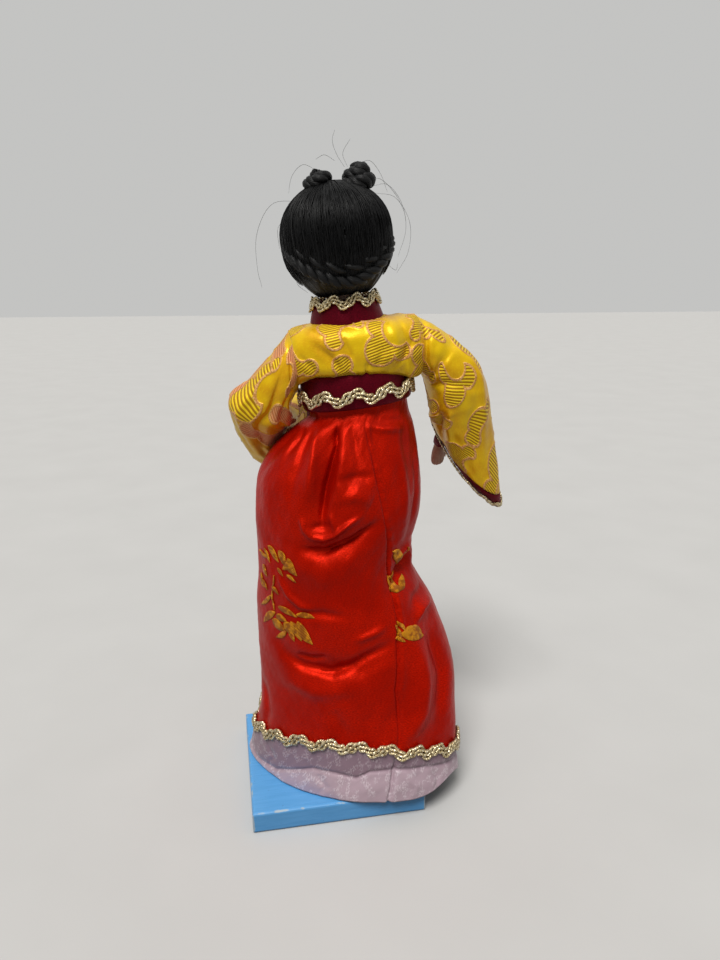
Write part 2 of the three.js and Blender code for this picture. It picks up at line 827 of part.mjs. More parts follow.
function ribbonTie() {
  const knot = new THREE.SphereGeometry(1, 10, 6);
  knot.scale(knotHalfWidth, knotHalfDepth, knotHalfHeight);
  knot.translate(ribbonX, knotY(), ribbonZ);
  const bowCentre = point(ribbonX - bowHalfLength, knotY(), ribbonZ + knotHalfHeight / 2);
  const bow = ringSolid([[-1, 0], [1, 0], [1, 1], [-1, 1]].map(([edge, side]) => oval(
    bowCentre.clone().addScaledVector(point(0, 0, 1), (edge * ribbonWidth) / 2),
    point(bowHalfLength - side * ribbonThickness, 0, 0),
    point(0, bowHalfDepth - side * ribbonThickness, 0), 16,
  )));
  const longTail = ribbonTail(ribbonX - 1, ribbonLongTail, -5);
  const shortTail = ribbonTail(ribbonX + 1, ribbonShortTail, 4);
  return join(knot, bow, longTail, shortTail);
}

// Arms. Each side has the centre, long half axis and short half axis of its sleeve at stations
// along it, from the shoulder ring to the mouth, all in upper-body coordinates
const sleeves = {
  left: {
    side: 1,
    elbow: point(34.5, -6.7, -2.1),
    wristToward: point(21.6, -28.2, -10),
    handToward: point(-5.5, -3.1, -1.1),
    stations: [
      [0, 0, 0, shoulderZ, 0, 0, shoulderRadius, 0, -shoulderRadius, 0],
      [0.22, 7, -0.5, 12.4, 2.6, 0.4, 9.8, 0.6, -10, 0.4],
      [0.46, 12.4, -4.5, 1.4, 11.2, 2, 4.6, -1, -8, 4.2],
      [0.7, 9.4, -16, -7.4, 10.4, 2.4, -7, 2, -5.6, 3.6],
      [0.88, 4.6, -24, -10.8, 8.6, 2.8, -12.6, 4.4, -4, 2.6],
      [1, 0.2, -29.4, -10.8, 7.2, 2.4, -13.4, 4.6, -3.4, 2.4],
    ],
  },
  right: {
    side: -1,
    elbow: point(-36.9, 0.6, -4.4),
    wristToward: point(-32.7, -21.3, -26.7),
    handToward: point(0.6, -1.8, -7.6),
    stations: [
      [0, 0, 0, shoulderZ, 0, 0, shoulderRadius, 0, shoulderRadius, 0],
      [0.22, -5.8, 0.5, 10.8, -3.4, 0, 9.1, -0.4, 10, 0],
      [0.46, -12, 1, -1.3, -9.4, 1, 6.8, -1, 9, -1.6],
      [0.7, -14.6, -3, -14.6, -10.6, 3.2, -4.8, 3.4, 7.8, -3.2],
      [0.88, -16.9, -8, -28, -10, 5.5, -16, 4.8, 7, -3],
      [1, -18.2, -12.4, -32, -10, 5.2, -18.6, 4.4, 6.8, -2.4],
    ],
  },
};

function sleeveFrame(arm, share) {
  const [x, y, z, lx, ly, lz, sx, sy, sz] = between(arm.stations, share);
  const start = jacketEnd(arm.side) + arm.side * runningGap;
  return { centre: point(start + x, y, z), long: point(lx, ly, lz), short: point(sx, sy, sz) };
}

function sleeveRow(arm, share, sink) {
  const { centre, long, short } = sleeveFrame(arm, share);
  const shrink = (axis) => axis.clone().multiplyScalar((axis.length() - sink) / axis.length());
  return oval(centre, shrink(long), shrink(short), sleeveColumns);
}

function sleeveShell(arm, from, to, rows) {
  const shares = spread(rows, from, to);
  return shell(
    shares.map((share) => sleeveRow(arm, share, 0)),
    shares.map((share) => sleeveRow(arm, share, sleeveCloth)),
  );
}

// Share of the sleeve that a real length takes near the mouth
function cuffGap(arm) {
  const a = sleeveFrame(arm, 1 - cuffShare).centre;
  const b = sleeveFrame(arm, 1).centre;
  return (gap * cuffShare) / a.distanceTo(b);
}

function cuffBraid(arm) {
  const share = 1 - cuffShare * 0.45;
  const { long, short } = sleeveFrame(arm, share);
  return wavyBraid((turn) => {
    const at = (angle, s) => {
      const frame = sleeveFrame(arm, s);
      return frame.centre.addScaledVector(frame.long, Math.cos(angle))
        .addScaledVector(frame.short, Math.sin(angle));
    };
    const place = at(turn, share);
    const up = at(turn, share - 0.01).sub(place).normalize();
    const out = at(turn + 0.02, share).sub(place).cross(up).normalize();
    if (out.dot(place.clone().sub(sleeveFrame(arm, share).centre)) < 0) out.negate();
    return { place, out, up };
  }, ovalLength(long.length(), short.length()), cuffBraidPeriod, cuffBraidSwing, cuffBraidWidth);
}

// Upper arm: straight through the shoulder, then down to a ball at the elbow
function upperArm(arm) {
  const inner = arm.side * (shoulderInBody + gap);
  const bend = jacketEnd(arm.side) + arm.side * shoulderStraight;
  const near = point(bend, 0, shoulderZ).lerp(arm.elbow, 0.25);
  const far = point(bend, 0, shoulderZ).lerp(arm.elbow, 0.8);
  const path = [point(inner, 0, shoulderZ), point(bend, 0, shoulderZ), near, far, arm.elbow];
  const radii = [upperArmRadius, upperArmRadius, upperArmRadius, elbowNeckRadius, elbowNeckRadius];
  return join(tube(path, radii, 10), ball(elbowBallRadius, arm.elbow));
}

function forearmLine(arm) {
  const direction = arm.wristToward.clone().sub(arm.elbow).normalize();
  const start = arm.elbow.clone().addScaledVector(direction, forearmSocket);
  const wrist = arm.elbow.clone().addScaledVector(direction, forearmLength);
  return { direction, start, wrist };
}

function forearm(arm) {
  const { start, wrist } = forearmLine(arm);
  const path = [0, 0.35, 1].map((share) => start.clone().lerp(wrist, share));
  const solid = tube(path, [forearmRadius, forearmRadius, wristRadius], 12);
  return cut(solid, ball(elbowBallRadius + gap, arm.elbow, 20));
}

function wristBand(arm) {
  const { direction, wrist } = forearmLine(arm);
  const inner = wristRadius + gap;
  const side = direction.clone().cross(point(0, 0, 1)).normalize();
  const across = direction.clone().cross(side);
  const rowAt = (back, radius) => oval(
    wrist.clone().addScaledVector(direction, -back),
    side.clone().multiplyScalar(radius), across.clone().multiplyScalar(radius), 16,
  );
  const outer = inner + wristBandThickness;
  const near = gap + wristBandFromHand;
  const far = near + wristBandLength;
  return shell(
    [rowAt(near, outer), rowAt(far, outer + wristBandFlare)],
    [rowAt(near, inner), rowAt(far, inner + wristBandFlare)],
  );
}

// Mitten hand: a flattened oval with a thumb
function hand(arm) {
  const { direction: forearmDirection, wrist } = forearmLine(arm);
  const direction = arm.handToward.clone().normalize();
  const bend = Math.sqrt(1 - direction.dot(forearmDirection) ** 2);
  const side = direction.clone().cross(point(0, 0, 1)).normalize();
  const across = direction.clone().cross(side);
  const start = wrist.clone().addScaledVector(forearmDirection, gap + wristRadius * bend);
  const profile = [
    [0, 0.45, 0.9], [0.2, 0.75, 1], [0.5, 1, 1], [0.75, 0.9, 0.8], [0.92, 0.6, 0.6], [1, 0.3, 0.3],
  ];
  const rows = profile.map(([share, wide, thick]) => oval(
    start.clone().addScaledVector(direction, share * handLength),
    side.clone().multiplyScalar((wide * handWidth) / 2),
    across.clone().multiplyScalar((thick * handThickness) / 2), 12,
  ));
  const thumbRoot = start.clone().addScaledVector(direction, handLength * 0.2);
  const thumbTip = start.clone().addScaledVector(direction, handLength * 0.62)
    .addScaledVector(side, handWidth * 0.55);
  const thumbPath = [thumbRoot, thumbRoot.clone().lerp(thumbTip, 0.6), thumbTip];
  const thumb = tube(thumbPath, [thumbRadius * 0.9, thumbRadius, thumbRadius * 0.6], 8);
  return join(loft(rows), thumb);
}

// Head: an egg with a soft chin and a small nose, on a round neck with a bore for the post
function headPoint(turn, height, grow) {
  const level = Math.sin(height);
  const round = Math.cos(height);
  const jaw = 1 - 0.2 * THREE.MathUtils.smoothstep(-level, 0.15, 1);
  const front = Math.max(0, -Math.sin(turn));
  const nose = 1.3 * Math.exp(-(((level + 0.12) / 0.09) ** 2)) * front ** 60;
  const cheek = 1 - 0.06 * front ** 4 * THREE.MathUtils.smoothstep(-level, -0.3, 0.2);
  return point(
    (headHalfWidth * jaw + grow) * round * Math.cos(turn),
    (headHalfDepth * cheek + grow + nose) * round * Math.sin(turn) - headForward,
    (headHalfHeight + grow) * level + headCentreZ,
  );
}

function roundForm(pointAt, columns, rows) {
  const lowest = -0.48 * Math.PI;
  return loft(spread(rows, lowest, -lowest).map((height) => spread(columns + 1, 0, 2 * Math.PI)
    .slice(0, -1).map((turn) => pointAt(turn - Math.PI / 2, height))));
}

function head() {
  const egg = roundForm((turn, height) => headPoint(turn, height, 0), 24, 14);
  const neck = cylinderAlongZ(neckRadius, bodyTop + gap, headCentreZ - headHalfHeight * 0.5, 20);
  const boreTop = bodyTop + neckPostInHead + gap;
  const bore = cylinderAlongZ(neckPostRadius + runningGap, bodyTop - 1, boreTop, 16);
  return cut(join(egg, neck), bore);
}

// Hair: a fuller egg round the head, tapering to the nape, flat underneath and open over the face
function hairPoint(turn, height, grow) {
  const level = Math.sin(height);
  const round = Math.cos(height);
  const halfHeight = (level > 0 ? hairTop - hairWidestZ : hairTaperDepth) + grow;
  return point(
    (headHalfWidth + hairThickness + grow) * round * Math.cos(turn),
    (headHalfDepth + hairThickness * 0.8 + grow) * round * Math.sin(turn) + hairBack - headForward,
    halfHeight * level + hairWidestZ,
  );
}

function faceOpening() {
  const halfHeight = (faceTop - faceBottom) / 2;
  const ring = (y) => oval(
    point(0, y, faceTop - halfHeight), point(faceHalfWidth, 0, 0), point(0, 0, halfHeight), 24,
  );
  return loft([ring(-clearOfAll), ring(faceOpeningBack)]);
}

function neckOpening() {
  return cylinderAlongZ(neckRadius + gap, bodyTop, headCentreZ, 20);
}

function hairCap() {
  const outer = roundForm((turn, height) => hairPoint(turn, height, 0), 24, 14);
  const inner = roundForm((turn, height) => headPoint(turn, height, gap), 24, 14);
  return cut(outer, inner, faceOpening(), neckOpening(), everythingBelow(hairLowest));
}

// Knob of hair: a turban of three bulging turns, seated in the crown
function hairBun(side, size) {
  const x = bunOffset + (side * bunSpread) / 2;
  const bottom = hairTop - bunSink - bunRoot;
  const profile = [[0, 0.8], [0.22, 1], [0.42, 0.86], [0.56, 0.9], [0.75, 0.82], [0.9, 0.5], [1, 0.16]];
  const rows = profile.map(([share, wide]) => {
    const z = bottom + (bunHeight * size + bunRoot) * share;
    return flatOval(x, hairBack, z, bunRadius * size * wide, bunRadius * size * wide, 14);
  });
  return cut(loft(rows), roundForm((turn, height) => hairPoint(turn, height, gap), 24, 14));
}

// Twisted lock that sweeps from ear to ear round the nape
function napeRoll() {
  const count = 15;
  const path = spread(count, -0.2, Math.PI + 0.2).map((turn) => {
    const height = -0.12 - 0.66 * Math.max(0, Math.sin(turn)) ** 1.5;
    return hairPoint(turn, height, 0);
  });
  const thickest = (share) => 0.45 + 0.55 * Math.sin(Math.PI * share) ** 0.6;
  const radii = spread(count, 0, 1).map((share) => rollRadius * thickest(share));
  const hair = roundForm((turn, height) => hairPoint(turn, height, gap), 24, 14);
  return cut(tube(path, radii, 8), hair, everythingBelow(hairLowest));
}

// Small gold comb standing on the crown between the knobs
function hairComb() {
  const outline = new THREE.Shape();
  outline.moveTo(-combWidth / 2, 0);
  outline.lineTo(combWidth / 2, 0);
  outline.quadraticCurveTo(combWidth / 2, combHeight, 0, combHeight);
  outline.quadraticCurveTo(-combWidth / 2, combHeight, -combWidth / 2, 0);
  const plate = new THREE.ExtrudeGeometry(outline, {
    depth: combThickness, bevelEnabled: false, curveSegments: 6,
  });
  plate.rotateX(Math.PI / 2);
  plate.translate(bunOffset, -combForward, hairTop - combSink);
  return cut(plate, roundForm((turn, height) => hairPoint(turn, height, gap), 24, 14));
}

// Pieces of the lower body, in the row's frame
addPiece(doll, 'base_block', baseBlock(), 'bluePaint');
legXs().forEach((x, i) => {
  const side = i === 0 ? 'left' : 'right';
  addPiece(doll, `leg_wire_${side}`, legWire(x), 'steelWire');
  addPiece(doll, `leg_wrap_${side}`, legWrap(x), 'padding');
});
addPiece(doll, 'skirt', redSkirt(), 'redSatin');
addPiece(doll, 'skirt_hem_band', hemBand(), 'lavenderSatin');
addPiece(doll, 'skirt_hem_trim', hemBraid(), 'goldBraid');

// Pieces of the upper body, in its own leaning frame
addPiece(upper, 'torso_core', torsoCore(), 'padding');
addPiece(upper, 'neck_post', neckPost(), 'steelWire');
addPiece(upper, 'waistband', waistband(), 'maroonSatin');
addPiece(upper, 'waistband_trim', waistBraid(), 'goldBraid');
addPiece(upper, 'jacket_bodice', jacketBodice(), 'yellowBrocade');
const lapelTopRight = { x: -lapelTop.x, z: lapelTop.z };
addPiece(upper, 'lapel_right', lapel(lapelTopRight, rightLapelFoot()), 'maroonSatin');
addPiece(upper, 'lapel_left', lapel(lapelTop, lapelFoot), 'maroonSatin');
addPiece(upper, 'collar_band', collarBand(), 'maroonSatin');
addPiece(upper, 'collar_trim', collarBraid(), 'goldBraid');
addPiece(upper, 'ribbon_tie', ribbonTie(), 'maroonSatin');
addPiece(upper, 'head', head(), 'skin');
addPiece(upper, 'hair_cap', hairCap(), 'hair');
addPiece(upper, 'hair_bun_left', hairBun(1, leftBunSize), 'hair');
addPiece(upper, 'hair_bun_right', hairBun(-1, rightBunSize), 'hair');
addPiece(upper, 'hair_nape_roll', napeRoll(), 'hair');
addPiece(upper, 'hair_comb', hairComb(), 'goldBraid');

Object.entries(sleeves).forEach(([name, arm]) => {
  const cuffStart = 1 - cuffShare;
  addPiece(upper, `upper_arm_${name}`, upperArm(arm), 'padding');
  addPiece(upper, `sleeve_${name}`, sleeveShell(arm, 0, cuffStart - cuffGap(arm), 9), 'yellowBrocade');
  addPiece(upper, `cuff_${name}`, sleeveShell(arm, cuffStart, 1, 2), 'maroonSatin');
  addPiece(upper, `cuff_trim_${name}`, cuffBraid(arm), 'goldBraid');
  addPiece(upper, `forearm_${name}`, forearm(arm), 'padding');
  addPiece(upper, `wrist_band_${name}`, wristBand(arm), 'maroonSatin');
  addPiece(upper, `hand_${name}`, hand(arm), 'skin');
});

export default doll;
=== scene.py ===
import math

import bpy
import numpy as np
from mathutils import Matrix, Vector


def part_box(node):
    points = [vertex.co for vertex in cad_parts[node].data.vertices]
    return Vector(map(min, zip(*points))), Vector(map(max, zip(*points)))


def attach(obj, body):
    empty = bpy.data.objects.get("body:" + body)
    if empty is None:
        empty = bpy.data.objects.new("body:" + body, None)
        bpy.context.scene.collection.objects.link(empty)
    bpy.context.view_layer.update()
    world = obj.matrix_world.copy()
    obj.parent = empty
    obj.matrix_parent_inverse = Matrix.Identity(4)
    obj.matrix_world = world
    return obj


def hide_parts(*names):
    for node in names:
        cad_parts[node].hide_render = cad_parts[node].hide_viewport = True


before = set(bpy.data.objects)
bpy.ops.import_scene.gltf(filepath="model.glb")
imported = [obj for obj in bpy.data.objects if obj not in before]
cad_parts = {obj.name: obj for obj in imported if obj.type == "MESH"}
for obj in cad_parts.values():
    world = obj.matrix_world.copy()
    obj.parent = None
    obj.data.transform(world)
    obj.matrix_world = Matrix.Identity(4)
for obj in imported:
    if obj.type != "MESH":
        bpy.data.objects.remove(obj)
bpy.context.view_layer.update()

MM = 0.001
FULL_TURN = 2 * math.pi
# Gap left between pieces that meet
GAP = 0.3

# Upper body: origin at the waist on the standing line, leaning to the doll's left
STAND_X = -12
WAIST_Z = 146
LEAN = math.radians(7.3)

# Skirt: height of its foot and top, and the turn of its hem. The joint of its two cloths runs level in
# front and rises across the back, between two directions in degrees
SKIRT_FOOT = 8.3
SKIRT_TOP = 147.5
JOINT_FOOT = 19.4
JOINT_RISE = 7.8
JOINT_FROM = 20
JOINT_TO = 170
HEM_TURN = math.radians(-30)
SKIRT_CLOTH = 0.7
MM_PER_DEGREE = 0.55
BAND_INNER_WIDTH = 17.3
BAND_INNER_DEPTH = 12.8

# Share of the height, offset of the centre from the standing line, half width, half depth
SKIRT_STATIONS = [
    [0, 2.5, 43, 30], [0.16, 0.8, 39.4, 28.8], [0.3, 1.2, 37.4, 27.2], [0.45, 4.8, 32.9, 25],
    [0.59, 8.9, 27.6, 23.5], [0.72, 7.2, 29.4, 24], [0.82, 6.3, 28.4, 22.2], [0.92, 3, 22.8, 17],
    [0.95, 1.6, 20, 15], [0.972, -0.5, BAND_INNER_WIDTH, BAND_INNER_DEPTH],
    [1, 0, BAND_INNER_WIDTH, BAND_INNER_DEPTH],
]

# Folds of the skirt: points (direction in degrees, height), then the rise over the cloth, which is
# negative for a valley, and the width to the doll's left and right of a downward fold. They end where
# the cloth is drawn in under the waistband
SKIRT_FOLDS = [
    [[(62, 150), (70, 136), (74, 124), (74, 113), (77, 103)], -2.2, 4.0, 3.6],
    [[(48, 148), (60, 131), (67, 114)], 1.2, 4.5, 3.8],
    [[(5, 149), (15, 137), (10, 122)], -1.5, 4.0, 4.0],
    [[(56, 102), (80, 99), (98, 102), (118, 110)], -1.8, 3.2, 4.0],
    [[(58, 94), (85, 91), (108, 98)], 1.0, 4.5, 4.5],
    [[(42, 66), (60, 58), (98, 57), (124, 67)], -1.7, 3.2, 4.0],
    [[(186, 94), (147, 89), (128, 82)], -2.2, 4.0, 4.0],
    [[(131, 72), (136, 50), (124, 20)], 1.4, 3.6, 4.5],
    [[(152, 74), (153, 50), (147, 28)], -1.7, 5.0, 5.0],
    [[(213, 9), (217, 122)], -2.0, 6.5, 6.5],
    [[(260, 9), (264, 128)], -2.2, 6.0, 6.0],
    [[(307, 9), (303, 122)], -2.0, 6.5, 6.5],
    [[(350, 40), (350, 110)], -1.4, 6.5, 6.5],
    [[(6, -30), (10, 58)], -3.4, 8.0, 8.0],
    [[(198, -30), (194, 54)], -3.6, 8.0, 8.0],
]
# Finer creases within and between the folds, in the same form
SKIRT_CREASES = [
    [[(60, 147), (74, 134.3), (75, 125.2), (74, 112), (76, 107.8)], -2.2, 1.0, 1.5],
    [[(100, 142), (112, 124), (122, 110), (131, 97)], -0.9, 1.2, 3.5],
    [[(46, 145), (61, 131), (68, 116.2)], 1.0, 2.2, 1.3],
    [[(66, 146), (81, 129.4), (83, 118)], 1.0, 1.0, 3.2],
    [[(76, 147), (90, 134), (96, 126)], -0.6, 1.6, 1.6],
    [[(1.5, 146), (19.5, 141.2), (31.5, 137.1), (35, 130)], -1.8, 1.6, 2.4],
    [[(24, 147), (42, 139), (50, 128), (52, 116)], -0.9, 1.6, 2.6],
    [[(94, 140.5), (112, 138.5), (138, 137.1)], 1.0, 1.1, 0.8],
    [[(95, 143), (113, 141), (138, 139.6)], -1.1, 0.9, 1.1],
    [[(82, 123.8), (94.5, 124.5), (108, 124.5)], -0.8, 1.9, 1.4],
    [[(84, 117.5), (96, 119), (108, 116.2)], 0.9, 2.2, 2.6],
    [[(64, 100.2), (80, 99.5), (98, 103.7), (112, 109)], -1.7, 1.6, 1.1],
    [[(67, 105), (78, 104.3), (84, 105.7), (91.5, 109.2), (100, 112)], 1.2, 1.1, 0.8],
    [[(67, 108), (81, 108.5)], -0.8, 1.0, 1.2],
    [[(60, 111.5), (64.5, 107.1), (70, 104.5)], 0.9, 0.9, 1.1],
    [[(79, 113), (85, 107)], 0.7, 0.8, 1.0],
    [[(46, 89), (55.5, 82.8), (64.5, 79.3), (75, 78.6)], 0.8, 1.0, 1.4],
    [[(62, 76.5), (79.5, 77.4), (95, 76.5)], -0.8, 1.6, 1.6],
    [[(172, 75), (151.5, 74.4), (141, 71)], 1.5, 1.3, 1.1],
    [[(172, 79), (152, 78), (140, 75)], -0.9, 1.6, 1.6],
    [[(97, 67.8), (109.5, 70.2), (117, 72)], 0.8, 1.4, 1.2],
    [[(52, 59), (64.5, 55.6), (82.5, 54.9), (91.5, 57), (103.5, 61.2), (119, 65.2)], -1.4, 1.2, 2.0],
    [[(60, 60.5), (70.5, 59.8), (80, 61.4)], -0.8, 1.0, 1.0],
    [[(50, 50), (74, 47.5), (98, 51)], 0.8, 2.6, 3.0],
    [[(136.5, 64), (137, 50), (135, 38.9), (129, 34.1), (124.5, 31.3)], 0.9, 2.4, 3.4],
    [[(150, 66), (156, 50), (150, 34)], -1.2, 2.4, 3.0],
    [[(174, 91.8), (147, 89), (132, 83.5)], -1.9, 1.3, 2.0],
    [[(176, 97), (152, 95.5), (136, 92)], 0.9, 1.6, 1.6],
    [[(196, 93), (178, 91.5), (158, 90)], 1.8, 3.0, 3.0],
    [[(150, 128), (154, 116), (146, 104)], -0.9, 2.2, 2.2],
    [[(128, 134), (134, 120), (138, 106)], 0.8, 1.8, 2.2],
    [[(30, 44), (40, 32), (42, 22)], -0.8, 1.6, 2.2],
    [[(84, 42), (92, 33), (94, 26)], -0.7, 1.6, 2.2],
    [[(196, 140), (200, 118), (196, 96)], -0.8, 2.2, 2.8],
    [[(232, 144), (236, 112), (232, 90)], -0.8, 2.4, 2.4],
    [[(284, 144), (288, 104), (284, 82)], -0.8, 2.2, 2.6],
    [[(322, 143), (326, 112), (322, 90)], -0.8, 2.4, 2.4],
    [[(300, 98), (284, 92), (268, 96)], -0.6, 2.0, 2.2],
    [[(340, 74), (330, 60), (318, 40)], 0.6, 3.0, 3.0],
]
# Factor on the rise of all the finer creases
CREASE_DEPTH = 1.35
# Seam down the back, its depth and its width to each side
SEAM = [(88, 147), (104, 131.5), (112, 121.7), (120, 108.5), (130, 96.7), (134, 85.6), (128, 75.1), (123, 64.7),
        (118, 48.7), (122, 32), (122, 7)]
SEAM_DEPTH = -1.5
SEAM_WIDTHS = (0.5, 0.8)
# The cloth stands up beside the seam, this many degrees along, and puckers at its stitches
RIDGE_OFFSET = 2.4
PUCKER_DEPTH = 0.12
PUCKER_SPACING = 3.4
# Share of the height from which the folds die out under the waistband, and at which they are gone
DRAWN_IN_FROM = 0.92
DRAWN_IN_TO = 0.972
# Pressed line in the lavender band, below which it flares and its colour is painted lighter, a painted highlight:
# direction in degrees and height
HEM_LINE = [(0, 14), (40, 10), (60, 11.1), (81, 17.6), (93, 17.6), (103.5, 16.7), (109.5, 19.4), (123, 19.8),
            (139.5, 18.8), (154.5, 16.8), (190, 14), (360, 14)]
HEM_FLARE = 1.0
# Creases of the lavender band, in the form of the folds
HEM_CREASES = [
    [[(48, 20), (56, 15), (54, 11)], -0.5, 0.9, 1.2],
    [[(84, 16), (90, 12), (88, 9)], -0.5, 0.8, 1.2],
    [[(128, 18), (136, 13), (134, 9)], 0.6, 1.2, 1.2],
    [[(146, 17), (150, 13), (149, 10)], -0.6, 0.8, 1.2],
    [[(122, 24), (122, 12), (121, 2)], -1.0, 0.5, 0.5],
]
# How far the lavender band's edge turns up off the block near one direction
HEM_CURL = 3.4
HEM_CURL_AT = 164
HEM_CURL_WIDTH = 15

# Bands and braids
BAND_HALF_WIDTH = 19
BAND_HALF_DEPTH = 14.5
BAND_HEIGHT = 9
BAND_BELLY = 0.4
# Cloth turned in at a band's edges, how far the waistband runs up under the jacket, and its seam's direction
BAND_TUCK = 2.6
BACK_SEAM = math.pi / 2
COLLAR_FOOT = 27.3
COLLAR_HEIGHT = 7.6
COLLAR_FOOT_SIZE = (12.7, 11.6)
COLLAR_TOP_SIZE = (10.4, 10.0)
BRAID_STRANDS = 4
BRAID_TWIST = 1.7
BRAID_STEP = 0.32
# Each braid: length of one wave, its swing up and down, width of the braid
HEM_BRAID = (9.6, 1.2, 3.5)
WAIST_BRAID = (9.6, 1.4, 3.3)
NECK_BRAID = (7, 1.3, 2.7)
CUFF_BRAID = (8, 0.9, 1.9)

# Jacket body, and the arms. A sleeve's stations are [share, centre x off the armhole, y, z, long half
# axis x, y, z, short half axis x, y, z]
JACKET_CENTRE_X = -1.5
JACKET_HALF_WIDTH = 21
SHOULDER_Z = 17.2
SHOULDER_RADIUS = 9.4
SLEEVE_START = 0.45
SLEEVE_CLOTH = 0.8
CUFF_SHARE = 0.12
# Length round a sleeve by which its creases are placed
SLEEVE_ROUND = 61.0
PINK_SHARE = {"left": 0.5, "right": 0.06}
SLEEVES = {
    "left": {
        "side": 1,
        "elbow": (34.5, -6.7, -2.1),
        "wrist_toward": (21.6, -28.2, -10),
        "hand_toward": (-5.5, -3.1, -1.1),
        "stations": [
            [0, 0, 0, SHOULDER_Z, 0, 0, SHOULDER_RADIUS, 0, -SHOULDER_RADIUS, 0],
            [0.22, 6, -0.5, 10.9, 2.2, 0.4, 8.1, 0.6, -10, 0.4],
            [0.34, 9.2, -2.3, 5.5, 6.5, 1.3, 6.6, -0.2, -9.2, 2.1],
            [0.46, 12.4, -4.5, 1.4, 11.2, 2, 4.6, -1, -8, 4.2],
            [0.7, 9.4, -16, -7.4, 10.4, 2.4, -7, 2, -5.6, 3.6],
            [0.88, 4.6, -24, -10.8, 8.6, 2.8, -12.6, 4.4, -4, 2.6],
            [1, 0.2, -29.4, -10.8, 7.2, 2.4, -13.4, 4.6, -3.4, 2.4],
        ],
    },
    "right": {
        "side": -1,
        "elbow": (-36.9, 0.6, -4.4),
        "wrist_toward": (-32.7, -21.3, -26.7),
        "hand_toward": (0.6, -1.8, -7.6),
        "stations": [
            [0, 0, 0, SHOULDER_Z, 0, 0, SHOULDER_RADIUS, 0, SHOULDER_RADIUS, 0],
            [0.22, -5.8, 0.5, 10.8, -3.4, 0, 9.1, -0.4, 10, 0],
            [0.46, -12, 1, -1.3, -9.4, 1, 6.8, -1, 9, -1.6],
            [0.7, -14.6, -3, -14.6, -10.6, 3.2, -4.8, 3.4, 7.8, -3.2],
            [0.88, -16.9, -8, -28, -10, 5.5, -16, 4.8, 7, -3],
            [1, -18.2, -12.4, -32, -10, 5.2, -18.6, 4.4, 6.8, -2.4],
        ],
    },
}

# Head and hair, in the upper body's frame
HEAD_Z = 53.9
HEAD_HALF_WIDTH = 14.2
HEAD_HALF_DEPTH = 14.6
HEAD_HALF_HEIGHT = 15.8
HEAD_FORWARD = 2
HAIR_THICKNESS = 3.3
HAIR_FOOT = 36.4
HAIR_TOP = 71
HAIR_WIDEST_Z = 55
HAIR_TAPER = 21
FACE_HALF_WIDTH = 11.4
FACE_TOP = 62
FACE_FOOT = 31.8

# The face's paint: places of the eyes, brows, lips and cheeks off the middle of the head
EYE_X = 4.7
EYE_Z = 1.0
EYE_HALF_WIDTH = 2.1
EYE_HALF_HEIGHT = 0.75
BROW_Z = 4.1
LIP_Z = -5.4
LIP_HALF_WIDTH = 1.9
CHEEK_X = 6.4
CHEEK_Z = -2.6

# Arms, hands and stuffed body
FOREARM_LENGTH = 29
WRIST_BAND_OUTER = 2.55
WRIST_BAND_INNER = 1.95
HAND_LENGTH = 8.6
HAND_WIDTH = 5.7
HAND_THICKNESS = 3.8
TORSO_FOOT = -26
TORSO_HEIGHT = 52
TORSO_HALF_WIDTH = 15.4
TORSO_HALF_DEPTH = 11
LEG_OFFSET = 6

# Block, camera, light and floor; the camera's place and the floor's half width are in metres
BLOCK_HALF_WIDTH = 31
BLOCK_HALF_HEIGHT = 4
CAMERA_PLACE = (0.0338, 0.2444, 0.1862)
CAMERA_HEADING = math.radians(10.8)
CAMERA_PITCH = math.radians(15.4)
CAMERA_LENS = 27.04
CAMERA_SENSOR = 36
LIGHT_STRENGTH = 2.6
LIGHT_SPREAD = math.radians(24)
LIGHT_TILT = math.radians(32)
LIGHT_HEADING = math.radians(62)
FLOOR_HALF_WIDTH = 4.0


# Shape helpers

def to_row(points):
    """Points of the upper body, turned about Y by its lean and set on the waist."""
    x, y, z = np.moveaxis(np.asarray(points, float), -1, 0)
    return np.stack([
        STAND_X + x * math.cos(LEAN) + z * math.sin(LEAN), y, WAIST_Z - x * math.sin(LEAN) + z * math.cos(LEAN),
    ], -1)


def unit(vectors):
    """Vectors divided by their lengths."""
    return vectors / np.maximum(np.linalg.norm(vectors, axis=-1, keepdims=True), 1e-9)


def smooth_step(x, low, high):
    """0 below low, 1 above high, 3t^2 - 2t^3 between."""
    t = np.clip((np.asarray(x, float) - low) / (high - low), 0, 1)
    return t * t * (3 - 2 * t)


def between(stations, share):
    """Smooth curve through stations [share, value, ...]: a cubic from each to the next, whose slope at a
    station is that of the line between its neighbours."""
    table = np.array(stations, float)
    knots, values = table[:, 0], table[:, 1:]
    share = np.asarray(share, float)
    i = np.clip(np.searchsorted(knots, share) - 1, 0, len(knots) - 2)
    before, after = np.maximum(i - 1, 0), np.minimum(i + 2, len(knots) - 1)
    step = (knots[i + 1] - knots[i])[..., None]
    u = np.clip((share - knots[i])[..., None] / step, 0, 1)
    slope_start = (values[i + 1] - values[before]) / (knots[i + 1] - knots[before])[..., None] * step
    slope_end = (values[after] - values[i]) / (knots[after] - knots[i])[..., None] * step
    cubic = 2 * u ** 3 - 3 * u ** 2
    return ((cubic + 1) * values[i] + (u ** 3 - 2 * u ** 2 + u) * slope_start
            - cubic * values[i + 1] + (u ** 3 - u ** 2) * slope_end)


def run_along(path):
    """Running length at each point of a path, from 0."""
    return np.concatenate([[0], np.cumsum(np.linalg.norm(np.diff(path, axis=0), axis=1))])


def through(points, count):
    """Smooth path of count points through a few points, as a cubic in the share of its length."""
    points = np.array(points, float)
    run = run_along(points)
    return between(np.column_stack([run / run[-1], points]), np.linspace(0, 1, count))


